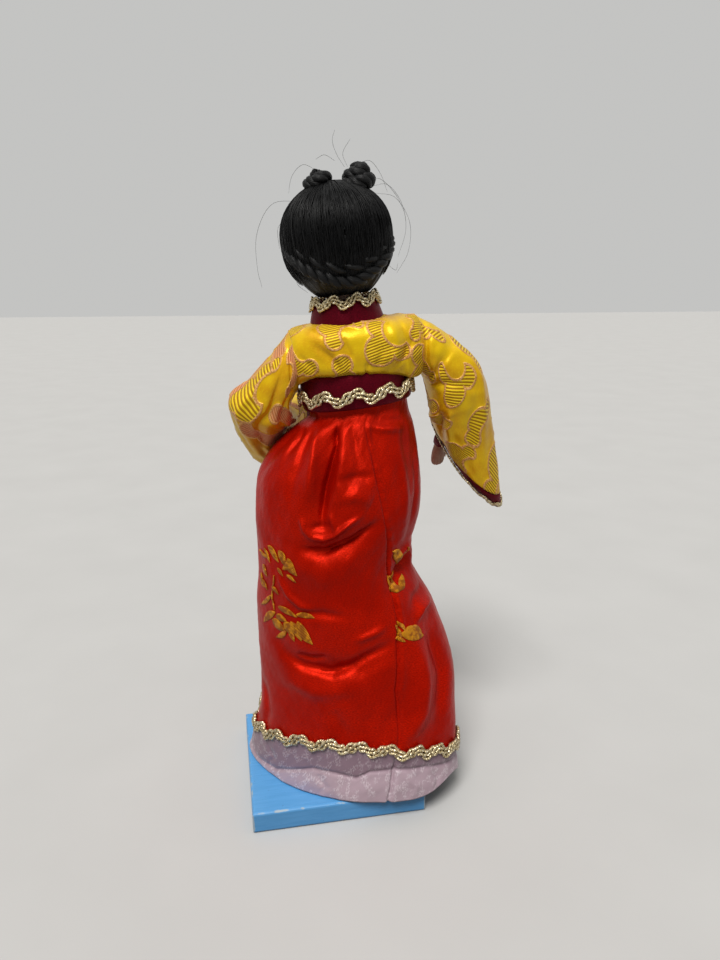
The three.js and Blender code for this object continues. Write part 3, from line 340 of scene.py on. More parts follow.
def angles(count):
    """Even steps round a full turn."""
    return np.linspace(0, FULL_TURN, count, endpoint=False)


def fullness(cos, sin, power):
    """Reach, in a direction, of the curve |x|^n + |y|^n = 1 with n the power."""
    return (np.abs(cos) ** power + np.abs(sin) ** power) ** (-1 / power)


def ripple(points, wavelength, seed, waves=7):
    """Smooth irregular field: the mean of sine waves that run in random directions with about this
    wavelength."""
    random = np.random.default_rng(seed)
    directions = unit(random.normal(size=(waves, points.shape[-1])))
    directions *= FULL_TURN / (wavelength * random.uniform(0.7, 1.4, (waves, 1)))
    return np.sin(points @ directions.T + random.uniform(0, FULL_TURN, waves)).mean(-1) * 1.6


def creases(u, v, table, turn=0.0):
    """Rise of folds at (u, v) in millimetres. Each fold runs along its points; across it the rise is a bell,
    exp(-(distance / width)^2), with one width to each side, and it fades out at both ends. turn is the
    length of u after which it comes round again."""
    rise = np.zeros(np.broadcast(u, v).shape)
    for points, most, left, right in table:
        path = np.array(points, float) * (MM_PER_DEGREE if turn else 1, 1)
        x0 = (u - path[0, 0] + turn / 2) % turn - turn / 2 + path[0, 0] if turn else u
        lengths = np.linalg.norm(np.diff(path, axis=0), axis=1)
        nearest = np.full(rise.shape, np.inf)
        side = np.zeros(rise.shape)
        along = np.zeros(rise.shape)
        run = 0.0
        for a, b, length in zip(path[:-1], path[1:], lengths):
            d = (b - a) / length
            t = np.clip((x0 - a[0]) * d[0] + (v - a[1]) * d[1], 0, length)
            x, y = x0 - a[0] - t * d[0], v - a[1] - t * d[1]
            away = np.hypot(x, y)
            closer = away < nearest
            nearest = np.where(closer, away, nearest)
            side = np.where(closer, d[0] * y - d[1] * x, side)
            along = np.where(closer, run + t, along)
            run += length
        fade = np.sin(np.pi * np.clip(along / run, 0.02, 0.98)) ** 0.7
        rise += most * fade * np.exp(-(nearest / np.where(side < 0, left, right)) ** 2)
    return rise


def arc_lengths(rows, axis):
    """Mean running length along one axis of a grid of points, from 0."""
    steps = np.linalg.norm(np.diff(rows, axis=axis), axis=-1).mean(1 - axis)
    return np.concatenate([[0], np.cumsum(steps)])


def add_piece(name, mesh, finish, body=None, node=None):
    """Piece of this mesh with a finish. It rides a body and stands for a node where they are named."""
    material, slot = finish
    mesh.shade_smooth()
    mesh.materials.append(material)
    piece = bpy.data.objects.new(name, mesh)
    bpy.context.scene.collection.objects.link(piece)
    if body:
        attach(piece, body)
    if node:
        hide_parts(node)
    return piece


def make(name, rows, finish, body=None, node=None, ring=False, values=None, uv=None):
    """Closed piece from rows of points (rows, columns, 3) in millimetres. Each row closes round its
    columns. The first and last rows are capped by fans or, in a ring, join each other. Its UV map is the
    running length round the columns and along the rows, in millimetres, and values are kept as
    attributes of its points."""
    rows = np.asarray(rows, float)
    count, columns = rows.shape[:2]
    last = count if ring else count - 1
    r, c = np.meshgrid(np.arange(last), np.arange(columns), indexing="ij")
    r2, c2 = r + 1, c + 1
    quads = np.stack([r * columns + c, r * columns + c2 % columns, (r2 % count) * columns + c2 % columns,
                      (r2 % count) * columns + c], -1).reshape(-1, 4)
    if uv is None:
        around = arc_lengths(np.concatenate([rows, rows[:, :1]], 1), 1)
        along = arc_lengths(np.concatenate([rows, rows[:1]], 0), 0)
        uv = np.stack(np.broadcast_arrays(around[None, :], along[:, None]), -1)
    corners = np.stack([uv[r, c], uv[r, c2], uv[r2, c2], uv[r2, c]], 2).reshape(-1, 4, 2)
    points = rows.reshape(-1, 3)
    extras = {key: np.asarray(value, float).reshape(-1) for key, value in (values or {}).items()}
    faces = quads.tolist()
    corners = corners.reshape(-1, 2)
    if not ring:
        first, end = len(points), len(points) + 1
        base = (count - 1) * columns
        ids = np.arange(columns)
        after = (ids + 1) % columns
        fans = np.concatenate([
            np.stack([np.full(columns, first), after, ids], -1),
            np.stack([np.full(columns, end), base + ids, base + after], -1),
        ])
        cap_uv = np.concatenate([
            np.stack([uv[0, ids], uv[0, ids + 1], uv[0, ids]], 1),
            np.stack([uv[-1, ids], uv[-1, ids], uv[-1, ids + 1]], 1),
        ])
        points = np.concatenate([points, [rows[0].mean(0)], [rows[-1].mean(0)]])
        extras = {key: np.concatenate([value, [value[:columns].mean(), value[-columns:].mean()]])
                  for key, value in extras.items()}
        faces += fans.tolist()
        corners = np.concatenate([corners, cap_uv.reshape(-1, 2)])
    a, b, c, d = (points[quads[:, k]] for k in range(4))
    volume = (a * np.cross(b, c)).sum() + (a * np.cross(c, d)).sum()
    if volume < 0:
        faces = [face[::-1] for face in faces]
        sizes = [4] * len(quads) + [3] * (len(faces) - len(quads))
        starts = np.concatenate([[0], np.cumsum(sizes)[:-1]])
        order = np.concatenate([
            (starts[:len(quads), None] + np.arange(3, -1, -1)).ravel(),
            (starts[len(quads):, None] + np.arange(2, -1, -1)).ravel(),
        ]).astype(int)
        corners = corners[order]
    mesh = bpy.data.meshes.new(name)
    mesh.from_pydata((points * MM).tolist(), [], faces)
    mesh.uv_layers.new(name="UVMap").data.foreach_set("uv", corners.astype(np.float32).ravel())
    for key, value in extras.items():
        mesh.attributes.new(key, "FLOAT", "POINT").data.foreach_set("value", value.astype(np.float32))
    return add_piece(name, mesh, finish, body, node)


def joined(name, pieces, body, node=None):
    """One piece made of several that share a finish. It rides a body and may stand for a node."""
    piece = pieces[0]
    bpy.context.view_layer.update()
    with bpy.context.temp_override(active_object=piece, selected_editable_objects=pieces):
        bpy.ops.object.join()
    piece.name = name
    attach(piece, body)
    if node:
        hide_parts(node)


def shell(outer, inner):
    """Rows of an outer wall followed by those of its inner wall backwards, which make() closes as a ring."""
    return np.concatenate([outer, inner[::-1]])


def oval(centre, long, short, columns):
    """Points centre + long cos a + short sin a, for angles a round a full turn."""
    a = angles(columns)[:, None]
    centre, long, short = (np.asarray(value, float)[..., None, :] for value in (centre, long, short))
    return centre + long * np.cos(a) + short * np.sin(a)


def square_to(path, up):
    """Two directions square to a path, the first as near to up as the path allows."""
    tangent = unit(np.gradient(path, axis=0))
    first = unit(up - tangent * (tangent * up).sum(-1, keepdims=True))
    return first, np.cross(tangent, first)


def round_section(path, reach, angle, up):
    """Rows of a round section carried along a path: the path + reach (cos a first + sin a second)."""
    first, second = square_to(path, up)
    rows = path[:, None] + (reach * np.cos(angle))[..., None] * first[:, None]
    return rows + (reach * np.sin(angle))[..., None] * second[:, None]


def tube(path, radius, sides, up=(0, 0, 1), lobes=0, depth=0.0, pitch=1.0):
    """Rows of a tube along a path. With lobes, its section swells by depth * cos(lobes * angle) and turns
    once round every pitch of length, as twisted thread does."""
    angle = angles(sides)[None, :]
    swell = 1 + depth * np.cos(lobes * (angle - FULL_TURN * run_along(path)[:, None] / pitch))
    return round_section(path, (radius * np.ones(len(path)))[:, None] * swell, angle, up)


# Finishes

def colour(red, green, blue):
    """A screen colour, 0 to 255, as the linear colour that a shader takes."""
    c = np.array([red, green, blue]) / 255
    linear = np.where(c <= 0.04045, c / 12.92, ((c + 0.055) / 1.055) ** 2.4)
    return (*linear.tolist(), 1.0)


class Nodes:
    """A tree of shader nodes. Each method adds a node and returns what it gives."""

    def __init__(self, tree):
        self.tree = tree
        tree.nodes.clear()

    def feed(self, socket, value):
        if isinstance(value, bpy.types.NodeSocket):
            self.tree.links.new(value, socket)
        else:
            socket.default_value = value

    def node(self, kind, inputs, output=0, **settings):
        node = self.tree.nodes.new(kind)
        for key, value in settings.items():
            setattr(node, key, value)
        for key, value in inputs.items():
            self.feed(node.inputs[key], value)
        return node.outputs[output]

    def end(self, kind, result):
        """The tree's output node, fed with its result."""
        self.feed(self.tree.nodes.new(kind).inputs[0], result)

    def maths(self, operation, a, b=0.0):
        return self.node("ShaderNodeMath", {0: a, 1: b}, operation=operation)

    def times(self, a, b):
        return self.maths("MULTIPLY", a, b)

    def blend(self, factor, a, b):
        return self.node("ShaderNodeMix", {0: factor, 6: a, 7: b}, 2, data_type="RGBA")

    def step(self, value, low, high):
        """0 below low and 1 above high, smooth between; with low above high it falls instead."""
        return self.node("ShaderNodeMapRange", {0: value, 1: low, 2: high, 3: 0.0, 4: 1.0},
                         interpolation_type="SMOOTHSTEP")

    def seen_rays(self):
        """1 on rays that show the studio: those from the camera, off gloss and through glass."""
        rays = self.tree.nodes.new("ShaderNodeLightPath").outputs
        seen = self.maths("MAXIMUM", rays["Is Camera Ray"], rays["Is Glossy Ray"])
        return self.maths("MAXIMUM", seen, rays["Is Transmission Ray"])


class Finish(Nodes):
    """A procedural material with one shader."""

    def __init__(self, name, **sockets):
        self.material = bpy.data.materials.new(name)
        self.material.use_nodes = True
        super().__init__(self.material.node_tree)
        self.shader = self.tree.nodes.new("ShaderNodeBsdfPrincipled")
        self.end("ShaderNodeOutputMaterial", self.shader.outputs[0])
        self.put(**sockets)

    def put(self, **sockets):
        """Set or feed the shader's sockets."""
        for key, value in sockets.items():
            self.feed(self.shader.inputs[key.replace("_", " ")], value)
        return self.material

    def place(self):
        """Object coordinates in millimetres."""
        coordinates = self.node("ShaderNodeTexCoord", {}, "Object")
        return self.node("ShaderNodeVectorMath", {0: coordinates, 3: 1 / MM}, operation="SCALE")

    def cloth(self, across=1.0, along=1.0):
        """The piece's UV map in millimetres, stretched across and along."""
        coordinates = self.node("ShaderNodeTexCoord", {}, "UV")
        return self.node("ShaderNodeMapping", {0: coordinates, 3: (across, along, 1)})

    def value(self, name):
        """An attribute of the piece's points."""
        return self.node("ShaderNodeAttribute", {}, "Fac", attribute_name=name)

    def ramp(self, value, low, high, first, last):
        """A straight ramp from first at low to last at high."""
        return self.node("ShaderNodeMapRange", {0: value, 1: low, 2: high, 3: first, 4: last})

    def noise(self, where, scale=1.0, detail=2.0):
        """Cloudy noise, 0 to 1, with scale cells to each unit of where."""
        return self.node("ShaderNodeTexNoise", {"Vector": where, "Scale": scale, "Detail": detail})

    def drift(self, scale, detail, low, high, first, last):
        """A soft drift between two colours over the whole piece."""
        return self.blend(self.step(self.noise(self.place(), scale, detail), low, high), first, last)

    def wave(self, where, axis, period, bend=0.0):
        """Sine stripes square to an axis, 0 to 1, once every period of millimetres."""
        return self.node("ShaderNodeTexWave", {"Vector": where, "Scale": math.pi / 10 / period, "Distortion": bend},
                         "Fac", wave_type="BANDS", bands_direction=axis, wave_profile="SIN")

    def weave(self, period):
        """Threads that cross, once every period of millimetres each way."""
        return self.maths("ADD", self.wave(self.cloth(), "X", period), self.wave(self.cloth(), "Y", period))

    def relief(self, *layers):
        """Reliefs laid over each other, each (height, depth in millimetres, strength)."""
        normal = {}
        for height, depth, strength in layers:
            bump = self.node("ShaderNodeBump", {"Height": height, "Distance": depth * MM, "Strength": strength,
                                                **normal})
            normal = {"Normal": bump}
        return bump


def satin(name, bright, deep, roughness, metallic, gloss, sheen, tint):
    """Satin: a lustrous face with the fine slubs of its yarn, which glint. The slubs are smoother and raised, and
    their lighter colour is partly the yarn's uneven tone and partly a painted glint. A soft drift darkens the tone
    in random patches.
    """
    f = Finish(name, Metallic=metallic, Specular_IOR_Level=gloss, Specular_Tint=tint, Sheen_Weight=sheen,
               Sheen_Roughness=0.4, Sheen_Tint=tint)
    drift = f.noise(f.place(), 0.07, 3)
    slub_glint = f.noise(f.cloth(1.6, 3.2))
    grain = f.noise(f.cloth(4.6, 6.0), detail=1)
    # Lighter colour on the slubs: partly the yarn's uneven tone, partly a painted glint
    shade = f.blend(f.step(slub_glint, 0.2, 0.8), deep, bright)
    shade = f.blend(f.times(f.step(drift, 0.6, 0.4), 0.45), shade, deep)
    rough = f.ramp(slub_glint, 0.3, 0.7, roughness + 0.06, roughness - 0.04)
    relief = f.relief((f.weave(0.34), 0.02, 0.5), (grain, 0.05, 0.8), (slub_glint, 0.06, 0.8))
    return f.put(Base_Color=shade, Roughness=rough, Normal=relief)


def figured_satin(name, bright, deep, figure):
    """Satin with pale flecked figures woven in. Where the value pale is 1, below the band's pressed line where it
    flares, the colour is painted lighter and the figures show more: a painted highlight for the light that the
    upturned cloth catches. Above that line the band keeps the darker colour.
    """
    f = Finish(name, Metallic=0.12, Sheen_Weight=0.3, Sheen_Roughness=0.35)
    patches = f.noise(f.cloth(0.34, 0.34), detail=4)
    fleck = f.noise(f.cloth(2.2, 1.2))
    woven = f.times(f.step(patches, 0.48, 0.58), f.step(fleck, 0.4, 0.62))
    # Painted highlight: lighter below the pressed line, where pale is 1, darker above it; the woven figures show
    # more on the painted highlight
    shade = f.blend(f.value("pale"), deep, bright)
    showing = f.maths("ADD", f.times(f.value("pale"), 0.45), 0.35)
    shade = f.blend(f.times(woven, showing), shade, figure)
    relief = f.relief((woven, 0.08, 0.7), (fleck, 0.05, 0.6))
    return f.put(Base_Color=shade, Roughness=f.ramp(woven, 0.0, 1.0, 0.5, 0.32), Normal=relief)


def brocade():
    """Yellow silk with cord-edged clouds: motif is the distance to the cord's line, less than nothing
    inside it, rib runs across the ribs that fill it, and pink is 1 on the pink clouds."""
    f = Finish("yellow_brocade", Metallic=0.28, Specular_IOR_Level=0.3, Sheen_Weight=0.1, Sheen_Roughness=0.4)
    edge = f.value("motif")
    grain = f.noise(f.cloth(2.4, 1.0))
    ground = f.drift(0.1, 3, 0.3, 0.7, colour(226, 166, 0), colour(246, 202, 0))
    ground = f.blend(f.times(f.step(grain, 0.45, 0.75), 0.3), ground, colour(255, 226, 16))
    ribs = f.step(f.maths("SINE", f.times(f.value("rib"), FULL_TURN / 0.9)), -0.6, 0.6)
    fill = f.blend(ribs, colour(176, 124, 0), colour(250, 214, 30))
    pink = f.blend(ribs, colour(206, 126, 70), colour(232, 164, 112))
    fill = f.blend(f.value("pink"), fill, pink)
    inside = f.step(edge, -0.25, -0.45)
    cord = f.step(f.maths("ABSOLUTE", edge), 0.48, 0.3)
    beads = f.noise(f.place(), 1.9, 1)
    thread = f.blend(f.step(beads, 0.35, 0.65), colour(208, 144, 70), colour(238, 184, 116))
    shade = f.blend(cord, f.blend(inside, ground, fill), thread)
    relief = f.relief((f.times(inside, ribs), 0.16, 0.8), (f.times(cord, beads), 0.25, 0.8), (grain, 0.06, 0.7))
    rough = f.ramp(f.maths("MAXIMUM", inside, cord), 0, 1, 0.34, 0.55)
    return f.put(Base_Color=shade, Roughness=rough, Normal=relief)


def gold_thread():
    """Metal thread of the braids: pale champagne gold. Its colour carries painted shade, a darker tone meant for the
    gaps between threads, and painted glints, near-white flecks, both placed by noise.
    """
    f = Finish("gold_thread", Metallic=0.9, Specular_IOR_Level=0.6)
    glint = f.noise(f.place(), 1.6)
    twist = f.wave(f.cloth(), "DIAGONAL", 0.42, 1.5)
    # Painted shade: darker where the noise is low, standing in for the gaps between threads
    shade = f.blend(f.step(glint, 0.35, 0.62), colour(150, 130, 90), colour(228, 212, 172))
    # Painted glints: near-white flecks in the colour where the noise is high
    shade = f.blend(f.times(f.step(glint, 0.56, 0.68), 0.9), shade, colour(252, 246, 226))
    relief = f.relief((twist, 0.12, 0.9), (glint, 0.2, 0.6))
    return f.put(Base_Color=shade, Roughness=f.ramp(glint, 0.3, 0.7, 0.5, 0.24), Normal=relief)


def stitched_thread():
    """Embroidery floss: golden orange, in close stitches across each leaf."""
    f = Finish("embroidery_thread", Metallic=0.2, Specular_IOR_Level=0.25)
    stitch = f.wave(f.cloth(), "Y", 0.5, 0.8)
    shade = f.drift(0.5, 2, 0.4, 0.6, colour(166, 92, 4), colour(226, 150, 18))
    shade = f.blend(f.times(f.step(stitch, 0.4, 0.0), 0.6), shade, colour(122, 62, 6))
    return f.put(Base_Color=shade, Roughness=0.42, Normal=f.relief((stitch, 0.18, 0.9)))


def hair():
    """Combed black thread: fine streaks along the strands, which run along the second UV axis."""
    f = Finish("hair_thread", Specular_IOR_Level=0.22)
    streak = f.noise(f.cloth(3.2, 0.12), detail=3)
    fine = f.noise(f.cloth(9.0, 0.3))
    shade = f.blend(f.step(streak, 0.35, 0.7), colour(3, 3, 4), colour(13, 13, 14))
    relief = f.relief((streak, 0.3, 0.8), (fine, 0.1, 0.7))
    return f.put(Base_Color=shade, Roughness=f.ramp(fine, 0.3, 0.7, 0.34, 0.58), Normal=relief)


def painted_skin():
    """Painted face: matt flesh, with a blush, lips, whites of the eyes and ink, each a share of its points."""
    f = Finish("painted_face", Subsurface_Weight=0.05, Subsurface_Scale=0.002)
    mottle = f.noise(f.place(), 0.5, 3)
    shade = f.blend(f.step(mottle, 0.3, 0.7), colour(232, 190, 164), colour(240, 204, 180))
    shade = f.blend(f.times(f.value("blush"), 0.55), shade, colour(224, 120, 104))
    for paint, tone in (("lip", (176, 32, 34)), ("white", (245, 240, 232)), ("ink", (22, 14, 12))):
        shade = f.blend(f.value(paint), shade, colour(*tone))
    return f.put(Base_Color=shade, Roughness=0.48, Normal=f.relief((mottle, 0.05, 0.4)))


def silk_skin():
    """Flesh-coloured silk stretched over padding: a fine weave and a few soft puckers."""
    f = Finish("silk_skin", Sheen_Weight=0.2)
    mottle = f.noise(f.place(), 0.7, 3)
    shade = f.blend(f.step(mottle, 0.3, 0.7), colour(206, 158, 134), colour(226, 184, 160))
    return f.put(Base_Color=shade, Roughness=0.6, Normal=f.relief((f.weave(0.3), 0.03, 0.6), (mottle, 0.12, 0.6)))


def blue_paint():
    """Light blue paint on the block, with brush marks, and bare wood where its edges are worn. The distance
    to an edge is the sum of those to the two faces that meet there."""
    f = Finish("blue_paint", Specular_IOR_Level=0.45, Coat_Weight=0.12)
    place = f.place()
    x, y, z = (f.node("ShaderNodeSeparateXYZ", {0: place}, k) for k in range(3))
    to_side = f.maths("SUBTRACT", BLOCK_HALF_WIDTH, f.maths("ABSOLUTE", x))
    to_front = f.maths("SUBTRACT", BLOCK_HALF_WIDTH, f.maths("ABSOLUTE", y))
    off_middle = f.maths("ABSOLUTE", f.maths("SUBTRACT", z, BLOCK_HALF_HEIGHT))
    to_top = f.maths("SUBTRACT", BLOCK_HALF_HEIGHT, off_middle)
    nearer = f.maths("MINIMUM", to_side, to_front)
    further = f.maths("MAXIMUM", to_side, to_front)
    edge = f.maths("MINIMUM", f.maths("ADD", nearer, to_top), f.maths("ADD", nearer, further))
    uneven = f.times(f.maths("SUBTRACT", f.noise(place, 0.28, 4), 0.5), 1.6)
    worn = f.step(f.maths("ADD", edge, uneven), 0.6, 0.35)
    brush = f.noise(f.node("ShaderNodeMapping", {0: place, 3: (0.1, 1.2, 1.2)}), detail=3)
    speck = f.noise(place, 0.9, 3)
    paint = f.blend(f.step(brush, 0.3, 0.7), colour(84, 154, 212), colour(92, 162, 220))
    paint = f.blend(f.step(speck, 0.7, 0.76), paint, colour(70, 122, 172))
    shade = f.blend(f.times(worn, 0.75), paint, colour(178, 186, 184))
    relief = f.relief((f.maths("SUBTRACT", brush, f.times(worn, 1.5)), 0.06, 0.7))
    return f.put(Base_Color=shade, Roughness=0.42, Normal=relief)


def wound_cotton():
    """Cotton strip wound round the limbs."""
    f = Finish("wound_cotton", Sheen_Weight=0.2)
    shade = f.drift(0.4, 3, 0.3, 0.7, colour(214, 202, 178), colour(232, 224, 206))
    return f.put(Base_Color=shade, Roughness=0.85, Normal=f.relief((f.weave(0.5), 0.06, 0.7)))


def drawn_metal(name, dark, light, roughness):
    """Wire or thin sheet: metal with fine drawn scratches along its length."""
    f = Finish(name, Metallic=1.0)
    scratch = f.noise(f.node("ShaderNodeMapping", {0: f.place(), 3: (3, 3, 0.3)}), detail=3)
    shade = f.blend(scratch, dark, light)
    return f.put(Base_Color=shade, Roughness=roughness, Normal=f.relief((scratch, 0.03, 0.5)))


# Finishes of the new pieces, each paired with the name of a material slot
RED = satin("red_satin", colour(204, 25, 3), colour(144, 8, 0), roughness=0.33, metallic=0.3, gloss=0.4, sheen=0.0,
            tint=colour(255, 110, 80)), "red_satin"
MAROON = satin("maroon_satin", colour(116, 8, 28), colour(66, 2, 12), roughness=0.4, metallic=0.35, gloss=0.3,
               sheen=0.1, tint=colour(230, 120, 150)), "maroon_satin"
# Lavender band: the first colour is the painted highlight below the pressed line, the second the darker tone above
# it, the third the woven figures
LAVENDER = figured_satin("lavender_satin", colour(180, 156, 167), colour(140, 115, 128),
                         colour(216, 200, 208)), "lavender_satin"
BROCADE = brocade(), "yellow_brocade"
GOLD = gold_thread(), "gold_braid"
FLOSS = stitched_thread(), "gold_braid"
HAIR = hair(), "hair_thread"
FACE = painted_skin(), "painted_head"
SKIN = silk_skin(), "silk_skin"
COTTON = wound_cotton(), "padding"


# Block, wires and comb keep their own solids

def dress_solids():
    """Paint of the block, drawn metal of the wires and gilt sheet of the comb."""
    wire = drawn_metal("steel_wire", colour(120, 118, 114), colour(170, 168, 164), 0.38)
    gilt = drawn_metal("gilt_sheet", colour(176, 136, 60), colour(238, 210, 140), 0.28)
    finishes = {"base_block": blue_paint(), "leg_wire_left": wire, "leg_wire_right": wire, "neck_post": wire,
                "hair_comb": gilt}
    for node, finish in finishes.items():
        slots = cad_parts[node].data.materials
        slots.clear()
        slots.append(finish)


# Skirt

def skirt_share(height):
    """Height as a share of the skirt's, from its foot."""
    return (height - SKIRT_FOOT) / (SKIRT_TOP - SKIRT_FOOT)


def skirt_rise(degrees, height):
    """How far the cloth stands off its smooth form: main folds, creases, seam and fine ripples."""
    u = degrees * MM_PER_DEGREE
    turn = 360 * MM_PER_DEGREE
    below_band = 1 - smooth_step(skirt_share(height), DRAWN_IN_FROM, DRAWN_IN_TO)
    rise = creases(u, height, SKIRT_FOLDS, turn) + CREASE_DEPTH * creases(u, height, SKIRT_CREASES, turn)
    rise = rise * below_band
    seam = creases(u, height, [[SEAM, SEAM_DEPTH, *SEAM_WIDTHS]], turn)
    beside = creases(u, height, [[[(d + RIDGE_OFFSET, z) for d, z in SEAM], 1.0, 1.2, 1.2]], turn)
    stitches = FULL_TURN * height / PUCKER_SPACING + ripple(np.stack([u * 0, height], -1), 9, 4)
    pucker = PUCKER_DEPTH * np.sin(stitches)
    rise += (seam + beside * (0.35 + pucker * smooth_step(height, 50, 90))) * (0.3 + 0.7 * below_band)
    line = np.interp(degrees % 360, *np.transpose(HEM_LINE))
    hem = smooth_step(joint_height(degrees) - height, 0, 1.5)
    pressed = -0.6 * np.exp(-((height - line) / 0.7) ** 2) + HEM_FLARE * smooth_step(line - height, 0, 7)
    rise += hem * (pressed + creases(u, height, HEM_CREASES, turn))
    angle = np.radians(degrees)
    round_it = np.stack([np.cos(angle) * 32, np.sin(angle) * 32, height * 0.8], -1)
    return rise + 0.3 * ripple(round_it, 17, 11) + 0.19 * ripple(round_it, 7, 12) + 0.06 * ripple(round_it, 2.6, 13)


def joint_height(degrees):
    """Height of the joint of the skirt's two cloths: foot + rise * sin(pi t)^1.3 between two directions."""
    across = np.clip((np.asarray(degrees, float) % 360 - JOINT_FROM) / (JOINT_TO - JOINT_FROM), 0, 1)
    return JOINT_FOOT + JOINT_RISE * np.sin(np.pi * across).clip(0) ** 1.3


def skirt_point(degrees, height, lift=0.0):
    """Point of the skirt: an oval of this height, grown by the rise of the cloth and by lift, turned by the
    twist of the hem and tilted near the waist by the upper body's lean."""
    degrees, height = np.broadcast_arrays(np.asarray(degrees, float), np.asarray(height, float))
    share = skirt_share(height)
    offset, half_width, half_depth = np.moveaxis(between(SKIRT_STATIONS, share), -1, 0)
    out = lift + skirt_rise(degrees, height)
    angle = np.radians(degrees)
    x = (half_width + out) * np.cos(angle)
    y = (half_depth + out) * np.sin(angle)
    twist = HEM_TURN * np.maximum(0, 1 - share) ** 1.5
    x, y = x * np.cos(twist) - y * np.sin(twist), x * np.sin(twist) + y * np.cos(twist)
    lean = LEAN * smooth_step(share, 0.86, 0.97)
    top = 1.5 * np.sin(lean)
    return np.stack([STAND_X + offset + x * np.cos(lean) + top, y, height - x * np.sin(lean)], -1)


def skirt_frame(degrees, height):
    """Point, outward direction, direction round and direction up on the skirt."""
    place = skirt_point(degrees, height)
    beside = skirt_point(degrees + 0.6, height)
    above = skirt_point(degrees, height + 0.4)
    around, up = unit(beside - place), unit(above - place)
    out = unit(np.cross(around, up))
    return place, out, around, unit(np.cross(out, around))


def round_skirt(columns):
    """Directions round the skirt, 360 s + 25 cos(2 pi s) degrees, which lie closest together at the back."""
    share = np.linspace(0, 1, columns, endpoint=False)[None, :]
    return 360 * share + 25 * np.cos(FULL_TURN * share)


def skirt_wall(low, high, rows, columns, lift):
    """Rows of the skirt, and their heights, between two edges given as functions of the direction."""
    degrees = round_skirt(columns)
    share = np.linspace(0, 1, rows)[:, None]
    heights = low(degrees) + (high(degrees) - low(degrees)) * share
    return skirt_point(degrees, heights, lift), heights


def hem_foot(degrees):
    """Height of the lavender band's edge: uneven, and curled up near one direction."""
    angle = np.radians(degrees)
    wave = 0.5 + 0.5 * ripple(np.stack([np.cos(angle) * 34, np.sin(angle) * 34], -1), 26, 21)
    curl = HEM_CURL * np.exp(-((degrees - HEM_CURL_AT) / HEM_CURL_WIDTH) ** 2)
    return SKIRT_FOOT + 0.5 * wave + curl


def make_skirt():
    """Red cloth down to the joint, and the lavender band from under the braid to the foot."""
    columns, hem_columns, hem_inner_rows = 330, 480, 20

    def above_joint(degrees):
        return joint_height(degrees) + GAP

    def top(degrees):
        return SKIRT_TOP + 0 * degrees

    def under_braid(degrees):
        return joint_height(degrees) + 0.4

    outer, _ = skirt_wall(above_joint, top, 230, columns, 0)
    inner, _ = skirt_wall(above_joint, top, 50, columns, -SKIRT_CLOTH)
    skirt = make("red_skirt", shell(outer, inner), RED, "root", "skirt", ring=True)

    outer, heights = skirt_wall(hem_foot, under_braid, 44, hem_columns, 0.25)
    inner, _ = skirt_wall(hem_foot, under_braid, hem_inner_rows, hem_columns, -SKIRT_CLOTH)
    # pale is 1 below the band's pressed line, where the band's finish paints a highlight into the colour
    line = np.interp(round_skirt(hem_columns) % 360, *np.transpose(HEM_LINE))
    pale = np.concatenate([smooth_step(line - heights, -0.8, 1.6), np.zeros((hem_inner_rows, hem_columns))])
    hem = make("lavender_hem", shell(outer, inner), LAVENDER, "root", "skirt_hem_band", ring=True,
               values={"pale": pale})


# Braid: strands laid side by side along a wavy line, woven over each other, each of two twisted wires

def braid(name, place, out, up, length, sizes, body, node):
    """place, out and up give points and directions for shares of a closed line. The line swings up and
    down as -swing cos; strand k lies across it at an even spacing and rises and dips in turn."""
    period, swing, width = sizes
    waves = max(3, round(length / period))
    t = np.linspace(0, 1, int(waves * (period + 1.2 * swing) / BRAID_STEP) + 1)
    middle = place(t) - up(t) * (swing * np.cos(FULL_TURN * waves * t))[:, None]
    outward = out(t)
    across = unit(np.cross(outward, unit(np.gradient(middle, axis=0))))
    radius = width / BRAID_STRANDS / 2 * 1.25
    strands = []
    for k in range(BRAID_STRANDS):
        lane = (k + 0.5) / BRAID_STRANDS - 0.5
        phase = FULL_TURN * (waves * 3 * t + k / 2)
        path = middle + across * (lane * (width - radius) + 0.12 * width * np.sin(phase))[:, None]
        path += outward * (radius * (1.05 + 0.45 * np.cos(phase)))[:, None]
        path[-1] = path[0]
        rows = tube(path, radius, 9, (0, 0, 1), 2, 0.2, BRAID_TWIST)
        strands.append(make(f"{name}_{k}", rows[:-1], GOLD, ring=True))
    joined(name, strands, body, node)


def oval_length(half_width, half_depth):
    """Length round an oval: 2 pi m (1 + k / 4), with m the mean of its half axes and k the square of their
    difference over their sum."""
    mean = (half_width + half_depth) / 2
    skew = ((half_width - half_depth) / (half_width + half_depth)) ** 2
    return FULL_TURN * mean * (1 + skew / 4)


def oval_guides(half_width, half_depth, height, slope=0.0):
    """Place, outward and upward directions along an oval of the upper body; slope leans up inwards."""
    def place(t):
        a = FULL_TURN * t
        return to_row(np.stack([half_width * np.cos(a), half_depth * np.sin(a), height + 0 * t], -1))

    def flat_out(t):
        a = FULL_TURN * t
        return unit(np.stack([half_depth * np.cos(a), half_width * np.sin(a), 0 * t], -1))

    def out(t):
        return to_row(flat_out(t) + (0, 0, slope)) - to_row(np.zeros(3))

    def up(t):
        return to_row(unit((0, 0, 1) - flat_out(t) * slope)) - to_row(np.zeros(3))

    return place, out, up


def make_hem_braid():
    """Braid over the joint of the skirt's two cloths, which follows it a little above its line."""
    lift = 1.2

    def guide(part):
        return lambda t: skirt_frame(t * 360, joint_height(t * 360) + lift)[part]

    def place(t):
        return guide(0)(t) + guide(1)(t) * 0.35

    half_width, half_depth = between(SKIRT_STATIONS, skirt_share(JOINT_FOOT + lift))[1:]
    braid("hem_braid", place, guide(1), guide(3), oval_length(half_width, half_depth), HEM_BRAID, "root",
          "skirt_hem_trim")


# Bands of maroon satin round the waist and the neck

